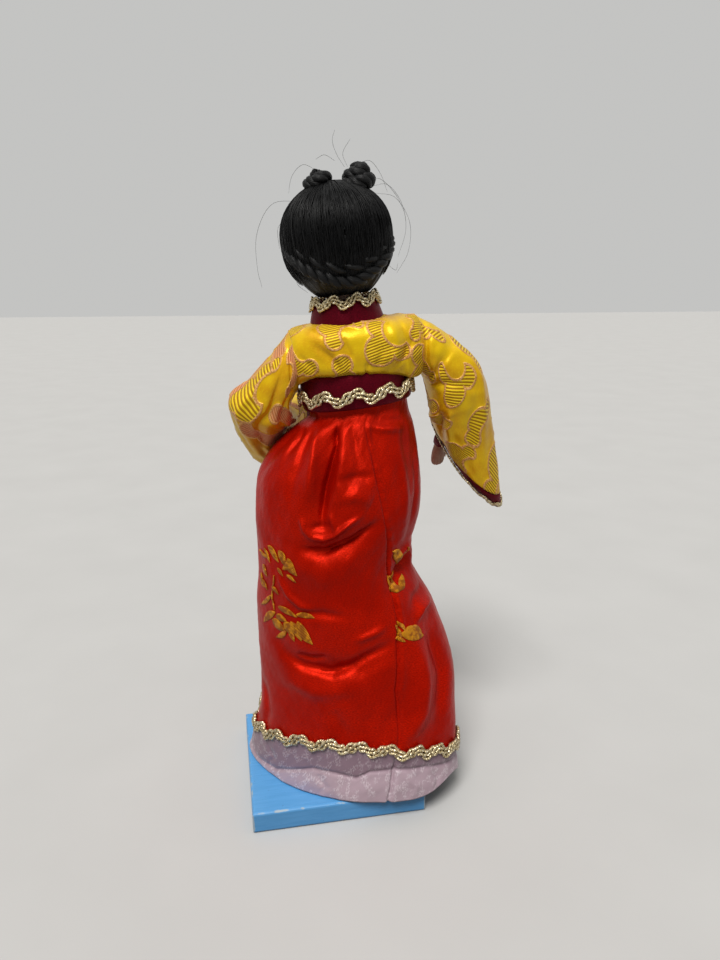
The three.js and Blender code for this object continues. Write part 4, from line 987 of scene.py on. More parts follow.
def band(name, foot, top, foot_size, top_size, belly, thickness, node, seed):
    """Cloth band: an oval that runs from its foot to its top, swells by belly between them, and has its
    edges turned over."""
    share = np.linspace(0, 1, 36)[:, None]
    a = angles(260)[None, :]

    def wall(sink):
        swell = belly * (1 - (2 * share - 1) ** 2) - sink - 0.35 * (2 * share - 1) ** 8
        wide, deep = (foot_size[k] + (top_size[k] - foot_size[k]) * share + swell for k in range(2))
        points = np.stack(np.broadcast_arrays(wide * np.cos(a), deep * np.sin(a), foot + (top - foot) * share), -1)
        pucker = 0.16 * ripple(points * (1, 1, 0.6), 9, seed) + 0.07 * ripple(points * (1, 1, 0.3), 3.2, seed + 1)
        pucker -= 0.4 * np.exp(-((a - BACK_SEAM) * foot_size[0] / 0.5) ** 2)
        return points * (1 + pucker[..., None] / wide[..., None] * (1, 1, 0))

    piece = make(name, to_row(shell(wall(0), wall(thickness))), MAROON, "root", node, ring=True)


def make_bands():
    """Waistband and collar, each with its braid."""
    size = (BAND_HALF_WIDTH, BAND_HALF_DEPTH)
    under_jacket = (BAND_HALF_WIDTH - 0.8, BAND_HALF_DEPTH - 0.9)
    band("waist_band", 0, BAND_HEIGHT + BAND_TUCK, size, under_jacket, BAND_BELLY, 1.3, "waistband", 31)
    guides = oval_guides(BAND_HALF_WIDTH + 0.35, BAND_HALF_DEPTH + 0.35, BAND_HEIGHT / 2 - 0.3)
    braid("waist_braid", *guides, oval_length(*size), WAIST_BRAID, "root", "waistband_trim")
    top = COLLAR_FOOT + COLLAR_HEIGHT
    band("neck_band", COLLAR_FOOT - 0.6, top, COLLAR_FOOT_SIZE, COLLAR_TOP_SIZE, 0.2, 1.2, "collar_band", 41)
    slope = (COLLAR_FOOT_SIZE[0] - COLLAR_TOP_SIZE[0]) / COLLAR_HEIGHT
    guides = oval_guides(COLLAR_TOP_SIZE[0] + 0.45, COLLAR_TOP_SIZE[1] + 0.45, top - 0.6, slope)
    braid("neck_braid", *guides, oval_length(*COLLAR_TOP_SIZE), NECK_BRAID, "root", "collar_trim")


# Brocade pattern: clouds of round lobes, on a staggered lattice

# Clouds as circles [x, y, radius] joined into one outline, then one circle bitten out of it
CLOUDS = [
    {"lobes": [[0, 1.5, 4.3], [-3.4, -4.2, 3.0], [5.6, -1.8, 3.0]], "bite": [2.0, -6.0, 4.4]},
    {"lobes": [[0, -2.6, 3.9], [-3.2, 2.2, 2.6], [-4.6, 6.0, 1.7], [4.2, 0.4, 3.0]], "bite": [0.6, 4.6, 3.4]},
    {"lobes": [[0, 0, 3.8], [5.0, 1.4, 2.9], [-4.2, 2.6, 2.2]], "bite": [0.8, 5.6, 3.2]},
]


def motif_fields(u, v, seed, pink_share, rib_tilt, spacing=(19, 16)):
    """motif: distance to the nearest cloud's edge, less than nothing inside; rib: length across the ribs;
    pink: 1 where the cloud is pink. The clouds differ in their turn and size, and stand on a lattice whose
    rows are staggered; their ribs keep nearly to one direction."""
    random = np.random.default_rng(seed)
    fields = {"motif": np.full(u.shape, 9.0), "rib": np.zeros(u.shape), "pink": np.zeros(u.shape)}
    for row, y in enumerate(np.arange(v.min() - spacing[1], v.max() + spacing[1], spacing[1])):
        for column, x in enumerate(np.arange(u.min() - spacing[0], u.max() + spacing[0], spacing[0])):
            cx = x + (row % 2) * spacing[0] / 2 + random.uniform(-1.5, 1.5)
            cy = y + random.uniform(-1.5, 1.5)
            turn, size = random.uniform(0, FULL_TURN), random.uniform(0.95, 1.25)
            tilt = rib_tilt + random.uniform(-0.3, 0.3)
            pink = float(random.random() < pink_share)
            cloud = CLOUDS[(row + 2 * column) % len(CLOUDS)]
            x0 = ((u - cx) * math.cos(turn) + (v - cy) * math.sin(turn)) / size
            y0 = ((v - cy) * math.cos(turn) - (u - cx) * math.sin(turn)) / size
            lobes = np.min([np.hypot(x0 - lx, y0 - ly) - radius for lx, ly, radius in cloud["lobes"]], axis=0)
            bx, by, radius = cloud["bite"]
            distance = np.maximum(lobes, radius - np.hypot(x0 - bx, y0 - by)) * size
            found = {"motif": distance, "rib": u * math.sin(tilt) + v * math.cos(tilt), "pink": pink}
            nearer = distance < fields["motif"]
            fields = {key: np.where(nearer, found[key], field) for key, field in fields.items()}
    return fields


def raised(points, motif):
    """A grid of points moved out along its normals by the cord on each cloud's edge and by the ribbed fill
    inside it."""
    around = np.roll(points, -1, 1) - np.roll(points, 1, 1)
    normal = unit(np.cross(around, np.gradient(points, axis=0)))
    outward = np.sign((normal * (points - points.mean(1, keepdims=True))).sum(-1).mean())
    rise = 0.22 * np.exp(-(motif / 0.36) ** 2) + 0.06 * smooth_step(-motif, 0.3, 0.7)
    return points + normal * outward * rise[..., None]


def brocade_piece(name, outer, inner, seed, pink_share, rib_tilt, body, node):
    """Closed brocade shell: the outer wall carries the pattern and its relief, and the inner wall is plain."""
    around = arc_lengths(np.concatenate([outer, outer[:, :1]], 1), 1)[:-1]
    u, v = np.broadcast_arrays(around[None, :], arc_lengths(outer, 0)[:, None])
    fields = motif_fields(u, v, seed, pink_share, rib_tilt)
    plain = {"motif": 5.0, "rib": 0.0, "pink": 0.0}
    values = {key: np.concatenate([field, np.full(inner.shape[:2], plain[key])]) for key, field in fields.items()}
    rows = to_row(shell(raised(outer, fields["motif"]), inner))
    return make(name, rows, BROCADE, body, node, ring=True, values=values)


# Jacket body: sections square to X, from the right armhole to the left one
JACKET_SECTIONS = [
    # share, x, centre z, half depth, half height
    [0, -23.2, 17.2, 9.5, 9.5], [0.06, -21.4, 17.2, 11, 9.9], [0.2, -16.5, 17.6, 13.8, 9.9],
    [0.36, -9.5, 18.2, 15.6, 10.0], [0.5, -1.5, 18.4, 16.0, 10.2], [0.64, 6.5, 18.4, 15.6, 10.2],
    [0.8, 13.5, 18.2, 13.8, 10.2], [0.94, 18.4, 17.7, 11, 10], [1, 20.2, 17.4, 9.5, 9.6],
]
# Creases on the back of the jacket: points (x, z), rise, width to each side
BACK_CREASES = [
    [[(-15, 27), (-16.5, 20), (-15, 8)], -1.1, 1.0, 1.8],
    [[(-11.5, 27), (-12.5, 20), (-11, 10)], 0.7, 1.4, 1.4],
    [[(-20, 22), (-15, 14), (-8, 10)], -0.9, 0.9, 1.6],
    [[(-6, 24), (-7.5, 17), (-5, 11)], -0.7, 1.0, 1.6],
    [[(-2.2, 15), (-1.8, 12), (-2, 8)], -0.9, 0.6, 0.7],
    [[(4.5, 24), (3, 18), (4, 11)], -1.1, 0.8, 1.4],
    [[(14, 23), (9, 18), (6, 12)], -0.9, 0.9, 1.6],
    [[(19, 20), (15, 15), (13, 11)], -0.7, 0.9, 1.4],
    [[(-12, 9), (-2, 11.5), (8, 12.5)], 0.5, 1.4, 1.4],
]
HEM_SAG = [[0, 3.8], [0.1, 4.4], [0.16, 5], [0.3, 7], [0.55, 9.4], [0.75, 10.8], [0.88, 11.4], [1, 10.6]]


def jacket_wall(rows, columns, sink):
    """Wall of the jacket body. Its section is a rounded square, |y|^n + |z|^n = 1 with n near 3, whose
    underside is pressed up inside so that the front and back hems stand down as edges."""
    share = np.linspace(0, 1, rows)
    x, z, depth, height = np.moveaxis(between(JACKET_SECTIONS, share), -1, 0)[..., None]
    power = 2 + 1.1 * np.sin(np.pi * share)[:, None] ** 0.7
    a = angles(columns)[None, :] - np.pi / 2
    cos, sin = np.cos(a), np.sin(a)
    round_it = fullness(cos, sin, power)
    y = (depth - sink) * cos * round_it
    up = (height - sink) * sin * round_it
    hem = between(HEM_SAG, share)
    middle = np.sin(np.pi * share)[:, None] ** 0.5
    pressed = np.where(sin < 0, middle * np.exp(-(cos / 0.5) ** 2) * 3.5 * -sin, 0)
    points = np.stack(np.broadcast_arrays(x, y, z + up + pressed), -1)
    lower = smooth_step(-points[..., 2], -13, -8.6) * middle
    points[..., 2] += lower * (hem - 8.4)
    back = smooth_step(points[..., 1], 0, 4)
    front = smooth_step(-points[..., 1], 0, 4)
    fold = creases(points[..., 0], points[..., 2], BACK_CREASES) * back
    fold += creases(points[..., 0] * -1 - 3, points[..., 2], BACK_CREASES) * front * 0.6
    fold += 0.3 * ripple(points, 11, 51) + 0.12 * ripple(points, 4.5, 52)
    out = unit(points - np.stack(np.broadcast_arrays(x, 0 * x, z), -1))
    return points + out * (fold * smooth_step(middle, 0.1, 0.5))[..., None]


def make_jacket():
    """Body of the jacket: two walls, the outer one patterned."""
    outer = jacket_wall(130, 300, 0)
    inner = jacket_wall(40, 300, 1.2)
    jacket = brocade_piece("jacket_back", outer, inner, 61, 0, 1.2, "root", "jacket_bodice")


# Sleeves
SLEEVE_CREASES = {
    # points (length round the sleeve, length along it), rise, width to each side
    "left": [
        [[(58, 1), (48, 4), (38, 9)], -0.7, 1.2, 2.0], [[(50, 8), (46, 20), (50, 34)], -1.1, 1.0, 1.8],
        [[(38, 5), (42, 18), (38, 32)], -1.3, 1.0, 1.9], [[(56, 12), (53, 28), (55, 42)], 0.9, 1.6, 1.6],
        [[(33, 18), (40, 30), (47, 42)], -1.1, 0.9, 1.6], [[(42, 26), (50, 36), (54, 48)], 0.8, 1.4, 1.4],
        [[(16, 4), (20, 16), (18, 30)], -1.0, 1.6, 2.2], [[(6, 8), (4, 22), (8, 36)], 0.8, 2.4, 2.4],
        [[(26, 20), (22, 32), (24, 44)], -0.9, 1.4, 2.0],
    ],
    "right": [
        [[(3, 2.5), (15, 1.5), (28, 3)], -0.9, 1.3, 1.8], [[(29, 6), (20, 11), (9, 15)], -1.0, 0.9, 1.9],
        [[(28, 11), (19, 18), (11, 27)], -0.9, 0.9, 1.7], [[(6, 14), (9, 28), (7, 44)], 0.9, 1.8, 2.2],
        [[(26, 24), (23, 38), (20.5, 52)], -1.7, 0.9, 1.6], [[(22, 24), (19, 38), (17, 52)], 1.1, 1.4, 1.0],
        [[(14, 30), (12, 42), (14, 53)], -0.8, 1.2, 1.8],
        [[(38, 4), (42, 16), (40, 30)], -1.0, 1.6, 2.2], [[(50, 24), (45, 40), (40, 56)], 1.2, 1.8, 1.4],
    ],
}


def sleeve_axes(arm, share):
    """Centre, long and short half axes of the sleeve's section at a share of its length."""
    values = between(arm["stations"], share)
    start = JACKET_CENTRE_X + arm["side"] * (JACKET_HALF_WIDTH + SLEEVE_START)
    return values[..., :3] + (start, 0, 0), values[..., 3:6], values[..., 6:9]


def sleeve_wall(arm, name, low, high, rows, columns, sink):
    """Wall of a sleeve: its section flattens towards the mouth, |long|^n + |short|^n = 1 with n below 2
    there, and its folds stand off it and calm down at both ends."""
    share = np.linspace(low, high, rows)
    centre, long, short = sleeve_axes(arm, np.clip(share, 0, 1))
    length = run_along(sleeve_axes(arm, np.linspace(0, 1, 60))[0])[-1]
    a = angles(columns)[None, :]
    cos, sin = np.cos(a), np.sin(a)
    v = share[:, None] * length
    fold = creases(a / FULL_TURN * SLEEVE_ROUND, v, SLEEVE_CREASES[name])
    sway = np.stack(np.broadcast_arrays(cos * 10, sin * 10, v), -1)
    fold = fold + 0.42 * ripple(sway, 12, 71) + 0.16 * ripple(sway, 5, 72)
    calm = smooth_step(share, 0.0, 0.05)[:, None] * smooth_step(-share, -1.0, -0.9)[:, None]
    grow = fold * (0.25 + 0.75 * calm) + 0.1 - sink
    round_it = fullness(cos, sin, (2 - 0.35 * smooth_step(share, 0.6, 1))[:, None])
    cos, sin = (side * round_it * (1 + grow / np.linalg.norm(axis, axis=-1)[:, None])
                for side, axis in ((cos, long), (sin, short)))
    return centre[:, None] + long[:, None] * cos[..., None] + short[:, None] * sin[..., None]


def make_sleeve(name):
    """Brocade sleeve, the maroon cuff at its mouth and the braid on the cuff."""
    arm, body = SLEEVES[name], f"{name}_arm"
    cuff_start = 1 - CUFF_SHARE
    outer, inner = (sleeve_wall(arm, name, 0, cuff_start - 0.006, rows, 200, sink)
                    for rows, sink in ((150, 0), (40, SLEEVE_CLOTH)))
    sleeve = brocade_piece(f"brocade_sleeve_{name}", outer, inner, 80 + len(name), PINK_SHARE[name], 0.5, body,
                           f"sleeve_{name}")
    outer, inner = (sleeve_wall(arm, name, cuff_start, 1, rows, 200, sink)
                    for rows, sink in ((26, 0), (12, SLEEVE_CLOTH)))
    cuff = make(f"sleeve_cuff_{name}", to_row(shell(outer, inner)), MAROON, body, f"cuff_{name}", ring=True)
    make_cuff_braid(arm, name)


def make_cuff_braid(arm, name):
    """Braid round the cuff, along the flattened section of the sleeve."""
    share = 1 - CUFF_SHARE * 0.45

    def ring_point(t, at):
        centre, long, short = sleeve_axes(arm, np.full(t.shape, at))
        cos, sin = np.cos(t * FULL_TURN), np.sin(t * FULL_TURN)
        round_it = fullness(cos, sin, 1.7)
        return to_row(centre + long * (cos * round_it)[:, None] + short * (sin * round_it)[:, None])

    def up(t):
        return unit(ring_point(t, share - 0.01) - ring_point(t, share))

    def out(t):
        sideways = ring_point(t + 0.004, share) - ring_point(t - 0.004, share)
        normal = unit(np.cross(sideways, up(t)))
        away = ring_point(t, share) - ring_point(t, share).mean(0)
        return normal * np.sign((normal * away).sum(-1).mean())

    def place(t):
        return ring_point(t, share) + out(t) * 0.25

    _, long, short = sleeve_axes(arm, np.array(share))
    length = oval_length(np.linalg.norm(long), np.linalg.norm(short))
    braid(f"cuff_braid_{name}", place, out, up, length, CUFF_BRAID, f"{name}_arm", f"cuff_trim_{name}")


# Arms, hands and stuffed body

def wrapped(reach, run, angle, pitch, step, edge):
    """Radius of a limb wound with a strip: once every pitch it rises by a step, over a share of the turn
    that edge gives, and sinks back along the rest."""
    winding = (run[:, None] / pitch + angle / FULL_TURN) % 1
    return reach[:, None] - (step + 0.05) + step * smooth_step(winding, 0, edge) * (1 - 0.4 * winding)


def wound(name, path, radii, body, node):
    """Padded limb round a path, wound with cotton, with radii at even steps along it."""
    points = through(path, 120)
    reach = between(np.column_stack([np.linspace(0, 1, len(radii)), radii]), np.linspace(0, 1, 120))[:, 0]
    angle = angles(40)[None, :]
    reach = wrapped(reach, run_along(points), angle, pitch=3.2, step=0.3, edge=0.2)
    limb = make(name, to_row(round_section(points, reach, angle, (0.3, 0.2, 1.0))), COTTON, body, node)


def cross_axes(direction):
    """Two directions square to a limb, the first of them level."""
    side = unit(np.cross(direction, (0, 0, 1)))
    return side, np.cross(direction, side)


def make_arm(name):
    """Padded arm in two parts that meet at the elbow, with the wrist band and the hand."""
    arm = SLEEVES[name]
    side = arm["side"]
    elbow = np.array(arm["elbow"], float)
    bend = np.array([JACKET_CENTRE_X + side * (JACKET_HALF_WIDTH + 3), 0, SHOULDER_Z])
    path = [(side * 7.3, 0, SHOULDER_Z), bend, bend + (elbow - bend) * 0.25, bend + (elbow - bend) * 0.8, elbow]
    wound(f"upper_arm_wrap_{name}", path, [2.6, 2.6, 2.6, 2.3, 2.4], f"{name}_arm", f"upper_arm_{name}")
    direction = unit(np.array(arm["wrist_toward"], float) - elbow)
    wrist = elbow + direction * FOREARM_LENGTH
    wound(f"forearm_wrap_{name}", [elbow + direction * 3.4, elbow + direction * 12, wrist], [2.5, 2.5, 1.8],
          f"{name}_forearm", f"forearm_{name}")
    make_wrist_band(name, direction, wrist)
    make_hand(name, arm, direction, wrist)


def make_wrist_band(name, direction, wrist):
    """Narrow satin band round the wrist, with a slight belly, which widens away from the hand."""
    share = np.linspace(0, 1, 16)
    side, across = cross_axes(direction)
    near, far = 0.8, 4.4

    def wall(radius):
        reach = radius + 0.2 * share + 0.12 * np.sin(np.pi * share)
        centre = wrist - direction * (near + (far - near) * share)[:, None]
        rows = oval(centre, side * reach[:, None], across * reach[:, None], 40)
        return rows + 0.05 * ripple(rows, 2.2, 91)[..., None]

    rows = to_row(shell(wall(WRIST_BAND_OUTER), wall(WRIST_BAND_INNER)))
    make(f"wrist_satin_{name}", rows, MAROON, f"{name}_forearm", f"wrist_band_{name}", ring=True)


def make_hand(name, arm, forearm, wrist):
    """Mitten hand: a flattened oval that swells and tapers, a thumb, and pressed lines between fingers."""
    direction = unit(np.array(arm["hand_toward"], float))
    bend = math.sqrt(1 - float(direction @ forearm) ** 2)
    side, across = cross_axes(direction)
    start = wrist + forearm * (GAP + 1.8 * bend)
    share = np.linspace(0, 1, 60)
    outline = [[0, 0.6, 0.9], [0.2, 0.8, 1], [0.5, 1, 1], [0.78, 0.98, 0.9], [0.94, 0.72, 0.65], [1, 0.25, 0.2]]
    shape = between(outline, share)
    centre = start + direction * (share * HAND_LENGTH)[:, None]
    rows = oval(centre, side * shape[:, :1] * HAND_WIDTH / 2, across * shape[:, 1:] * HAND_THICKNESS / 2, 56)
    offset = (rows - centre[:, None]) @ side
    grooves = sum(np.exp(-((offset - lane) / 0.28) ** 2) for lane in (-1.35, 0.0, 1.35))
    tips = smooth_step(share, 0.45, 0.7)[:, None]
    normal = unit(rows - centre[:, None])
    rows = rows - normal * (0.35 * grooves * tips)[..., None] + normal * 0.05 * ripple(rows, 2.4, 95)[..., None]
    palm = make(f"hand_palm_{name}", to_row(rows), SKIN)
    root = start + direction * HAND_LENGTH * 0.2
    tip = start + direction * HAND_LENGTH * 0.62 + side * HAND_WIDTH * 0.55
    path = through([root, root + (tip - root) * 0.5 + side * 0.4, tip, tip + unit(tip - root) * 0.7], 30)
    radius = between([[0, 0.9], [0.6, 1.0], [0.85, 0.8], [1, 0.25]], np.linspace(0, 1, 30))[:, 0]
    thumb = make(f"hand_thumb_{name}", to_row(tube(path, radius, 20)), SKIN)
    joined(f"silk_hand_{name}", [palm, thumb], f"{name}_forearm", f"hand_{name}")


def make_body():
    """Stuffed torso, and legs wound with cotton round their wires."""
    share = np.linspace(0, 1, 70)
    outline = [[0, 0.6, 0.7], [0.04, 0.8, 0.88], [0.12, 0.95, 0.98], [0.5, 1, 1], [0.84, 1, 1], [0.95, 0.8, 0.84],
               [1, 0.5, 0.6]]
    shape = between(outline, share)
    centre = np.stack([0 * share, 0 * share, TORSO_FOOT + TORSO_HEIGHT * share], -1)
    rows = oval(centre, shape[:, :1] * (TORSO_HALF_WIDTH, 0, 0), shape[:, 1:] * (0, TORSO_HALF_DEPTH, 0), 120)
    rows = rows + unit(rows * (1, 1, 0)) * 0.2 * ripple(rows, 8, 101)[..., None]
    torso = make("torso", to_row(rows), COTTON, "root", "torso_core")
    angle = angles(48)[None, :]
    for name, x in (("left", STAND_X + LEG_OFFSET), ("right", STAND_X - LEG_OFFSET)):
        low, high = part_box(f"leg_wrap_{name}")
        steps = np.linspace(low.z / MM, high.z / MM, 260)
        run = steps - steps[0]
        reach = between([[0, 3.3], [0.3, 3.8], [0.6, 4.4], [1, 5.1]], run / run[-1])[:, 0]
        reach = wrapped(reach, run, angle, pitch=5.5, step=0.35, edge=0.15)
        rows = np.stack(np.broadcast_arrays(x + reach * np.cos(angle), reach * np.sin(angle), steps[:, None]), -1)
        leg = make(f"leg_padding_{name}", rows, COTTON, "root", f"leg_wrap_{name}")


# Front of the jacket: crossed bands and the ribbon tie

def jacket_front(x, z, proud):
    """Point of the jacket's front at a place, proud of the cloth."""
    share = np.clip((z - 9.3) / 17.7, 0, 1)
    wide, deep = np.moveaxis(between([[0, 0.94, 0.9], [0.15, 1, 0.98], [0.45, 1, 1], [0.72, 0.93, 0.94],
                                      [0.92, 0.76, 0.8], [1, 0.63, 0.73]], share), -1, 0)
    across = (x - JACKET_CENTRE_X * (1 - share)) / (JACKET_HALF_WIDTH * wide + proud)
    y = -(15.8 * deep + proud) * np.sqrt(np.maximum(0, 1 - across ** 2))
    return np.stack(np.broadcast_arrays(x, y, z), -1)


def flat_strip(name, path, width, thickness, across, crown=0.0, body=None, node=None):
    """Flat satin band along a path: a thin rounded box section, its width along across."""
    wide, face = square_to(path, np.asarray(across, float))
    a = angles(28)
    edge = np.sign(np.cos(a)) * np.abs(np.cos(a)) ** 0.35
    lift = np.sign(np.sin(a)) * np.abs(np.sin(a)) ** 0.5
    rows = path[:, None] + wide[:, None] * (edge * width / 2)[None, :, None]
    rows = rows + face[:, None] * ((lift * thickness / 2) + crown * (1 - edge ** 2))[None, :, None]
    return make(name, to_row(rows), MAROON, body, node)


def make_front():
    """Lapels: the left one crosses down to the doll's right, and the right one stops where it meets it."""
    top_x, top_z = 8.5, 24.6
    share = np.linspace(0, 1, 60)
    for name, x0, x1, z1 in (("left", top_x, -5, 12), ("right", -top_x, -2.3, 18.8)):
        path = jacket_front(x0 + (x1 - x0) * share, top_z + (z1 - top_z) * share, GAP + 1.1)
        flat_strip(f"front_band_{name}", path, 4.8, 0.8, (z1 - top_z, 0, x0 - x1), body="root", node=f"lapel_{name}")
    make_ribbon()


def make_ribbon():
    """Ribbon tie: a knot, one loop and two tails that fall over the waistband and the skirt."""
    x, z = 3.0, 15.0
    width, thickness = 4.6, 0.6
    knot_y = float(jacket_front(np.array(x), np.array(z), 3.7)[1])
    turn = np.linspace(0, 1, 50) * FULL_TURN
    a = angles(40)[None, :]
    polar = np.pi * np.linspace(0.03, 0.97, 40)[:, None]
    knot = np.stack([x + 3.1 * np.cos(a) * np.sin(polar), knot_y + 1.5 * np.sin(a) * np.sin(polar),
                     z - 3 * np.cos(polar) + 0 * a], -1)
    knot += 0.25 * ripple(knot, 3, 111)[..., None] * (1, 1, 0.3)
    loop = np.stack([x - 6 - 5.2 * np.cos(turn), knot_y + 1.5 * np.sin(turn), z + 1.5 + 0.8 * np.sin(turn / 2)], -1)
    parts = [make("ribbon_knot", to_row(knot), MAROON),
             flat_strip("ribbon_loop", loop, width, thickness, (0, 0, 1))]
    band_front = BAND_HALF_DEPTH + BAND_BELLY + 2.2
    for k, (start, spread, end) in enumerate(((x - 1, -5, z - 45.5), (x + 1, 4, z - 36.5))):
        stops = [(start, knot_y, z), (start + spread * 0.2, -band_front, 8), (start + spread * 0.3, -band_front, 1)]
        for step in np.linspace(0, 1, 4):
            height = -5 + (end + 5) * step
            stops.append((start + spread * (0.3 + 0.7 * step), -front_depth(start + spread, height) - 1.9, height))
        path = through(stops, 90)
        path[:, 1] += 0.25 * np.sin(path[:, 2] * 0.35 + k)
        parts.append(flat_strip(f"ribbon_tail_{k}", path, width, thickness, (1, 0, 0), crown=0.25))
    joined("ribbon_bow", parts, "root", "ribbon_tie")


def front_depth(x, z):
    """Depth of the skirt's front below a place of the upper body, as its smooth oval gives it."""
    row = to_row(np.array([x, 0.0, z]))
    offset, half_width, half_depth = between(SKIRT_STATIONS, skirt_share(row[2]))
    across = (row[0] - STAND_X - offset) / half_width
    return half_depth * math.sqrt(max(0, 1 - across ** 2))


# Embroidery: satin-stitched leaves and petals on the skirt

def leaf(base, tip, width, curve):
    """Leaf between two places (direction, height) on the skirt: its half width is 0.7 width sin(pi t^0.8)^0.85,
    its middle line bends sideways by curve * sin(pi t), and it is domed like padded stitching."""
    t = np.linspace(0, 1, 22)[:, None]
    a = angles(18)[None, :]
    base, tip = (np.array(p, float) * (MM_PER_DEGREE, 1) for p in (base, tip))
    line = tip - base
    side = np.array([-line[1], line[0]]) / np.hypot(*line)
    swell = np.sin(np.pi * np.clip(t, 0.004, 0.996) ** 0.8) ** 0.85
    half = 0.7 * width * swell
    flat = base + line * t[..., None] + side * (curve * np.sin(np.pi * t) + half * np.cos(a))[..., None]
    lift = 0.12 + (np.sin(a) * 0.3 + 0.1) * np.minimum(swell + 0.25, 1)
    place, out, _, _ = skirt_frame(flat[..., 0] / MM_PER_DEGREE, flat[..., 1])
    return place + out * lift[..., None]


# Leaves of each spray: base and tip (direction in degrees, height), width, bend
SPRAYS = {
    "left": [
        ((33, 99), (46, 94), 1.9, 0.5), ((18, 95.5), (36, 94.6), 1.1, -0.3), ((28, 97.5), (37, 93), 1.2, 0.3),
        ((45, 98.5), (53, 93.5), 2.4, 0.4), ((54, 96.5), (63, 90.8), 2.6, -0.7), ((57, 96), (50, 92), 2.1, 0.5),
        ((45, 92), (51, 89.5), 1.0, 0.2), ((54, 90.4), (62, 88), 1.0, 0.3),
        ((25, 90.6), (34, 87.4), 1.9, 0.3), ((22, 87), (30, 82.4), 1.9, -0.4), ((27, 85), (34, 82), 1.3, 0.3),
        ((42, 89), (40.5, 82.5), 0.6, 0.3), ((40.5, 83), (40.5, 78.4), 0.6, -0.2), ((40.5, 79), (42, 75), 0.6, 0.2),
        ((39, 80.8), (24, 74.4), 1.4, 0.5), ((40, 84.5), (47, 82), 1.2, 0.3),
        ((46, 77.4), (62, 75), 1.7, 0.5), ((61, 76), (74, 75.6), 1.5, 0.4), ((43, 74.6), (29, 68), 2.2, -0.6),
        ((40, 71.2), (53, 68.4), 2.8, 0.3), ((44, 73.6), (54, 72.6), 2.0, 0.3), ((51, 71.4), (62, 70), 2.8, -0.2),
        ((57, 73), (65, 66.4), 2.5, 0.4), ((62, 73.6), (72, 65.6), 2.7, -0.5), ((54, 68.9), (44, 64.6), 1.6, 0.4),
        ((55.5, 70.2), (60, 65.6), 1.5, 0.2),
    ],
    "right": [
        ((135, 97.4), (149, 89.8), 3.0, 0.5), ((133, 97.4), (144, 91.5), 0.8, 0.6),
        ((152, 96.5), (161, 89.5), 0.9, 0.7), ((157, 95), (151, 91.5), 0.8, -0.5),
        ((145, 89.4), (160, 89.9), 0.8, 0.3), ((132, 88.4), (132.4, 83), 1.8, 0.4),
        ((130, 83.6), (142, 82.4), 2.2, 0.5), ((139, 82.4), (151, 86.4), 1.7, -0.4),
        ((139, 89.4), (132, 86.6), 1.0, 0.3), ((136, 87), (139, 83.2), 1.1, 0.3),
        ((126, 68.4), (144.5, 65.2), 3.4, 0.7), ((130, 69.6), (138, 69.8), 1.6, -0.3),
        ((135, 70), (143.5, 66.6), 1.6, 0.4), ((124, 72), (126, 66.6), 1.2, 0.3),
        ((122, 67.4), (128, 65.6), 1.2, 0.2), ((127, 72.6), (129.4, 69), 1.0, 0.2),
    ],
    "front": [
        ((262, 92), (250, 95), 2.2, 0.5), ((262, 92), (251, 89), 2.2, -0.5), ((264, 94), (260, 99), 2.0, 0.4),
        ((266, 93), (274, 97), 2.2, -0.4), ((266, 91), (277, 90), 2.3, 0.5), ((264, 90), (269, 85), 2.1, -0.4),
        ((263, 90), (258, 72), 0.7, 1.0), ((260, 82), (252, 79), 1.8, 0.5), ((259, 78), (266, 75), 1.8, -0.5),
        ((257, 70), (246, 72), 2.2, 0.5), ((257, 70), (247, 66), 2.2, -0.5), ((258, 71), (260, 76), 2.0, 0.4),
        ((259, 70), (270, 72), 2.3, -0.5), ((258, 68), (266, 63), 2.2, 0.5),
    ],
}


def make_embroidery():
    """Sprays on the back and the front, the leaves of each joined into one piece."""
    for name, leaves in SPRAYS.items():
        parts = [make(f"{name}_leaf_{k}", leaf(*shape), FLOSS) for k, shape in enumerate(leaves)]
        joined(f"embroidery_{name}", parts, "root")


# Head and hair

def head_point(turn, height, grow):
    """Egg-shaped head: turn goes round from the doll's left, height is the angle above its middle. The
    lower half narrows to the jaw, and a soft nose, lips, chin and eye hollows stand off the front."""
    level, round_it = np.sin(height), np.cos(height)
    jaw = 1 - 0.2 * smooth_step(-level, 0.15, 1)
    front = np.maximum(0, -np.sin(turn))
    cheek = 1 - 0.06 * front ** 4 * smooth_step(-level, -0.3, 0.2)
    x = (HEAD_HALF_WIDTH * jaw + grow) * round_it * np.cos(turn)
    y = (HEAD_HALF_DEPTH * cheek + grow) * round_it * np.sin(turn) - HEAD_FORWARD
    z = (HEAD_HALF_HEIGHT + grow) * level
    facing = smooth_step(front, 0.3, 0.7)
    nose = 1.5 * np.exp(-(x / 1.1) ** 2) * (np.exp(-((z + 2.2) / 1.1) ** 2) + 0.45 * np.exp(-((z - 0.4) / 2.2) ** 2))
    lips = 0.35 * np.exp(-(x / 1.9) ** 2 - ((z + 5.3) / 0.8) ** 2)
    chin = 0.5 * np.exp(-(x / 3) ** 2 - ((z + 9) / 2.2) ** 2)
    hollows = -0.45 * (np.exp(-((np.abs(x) - 4.6) / 2.4) ** 2 - ((z - 1.2) / 1.6) ** 2))
    y = y - (nose + lips + chin + hollows) * facing
    return np.stack(np.broadcast_arrays(x, y, z + HEAD_Z), -1)


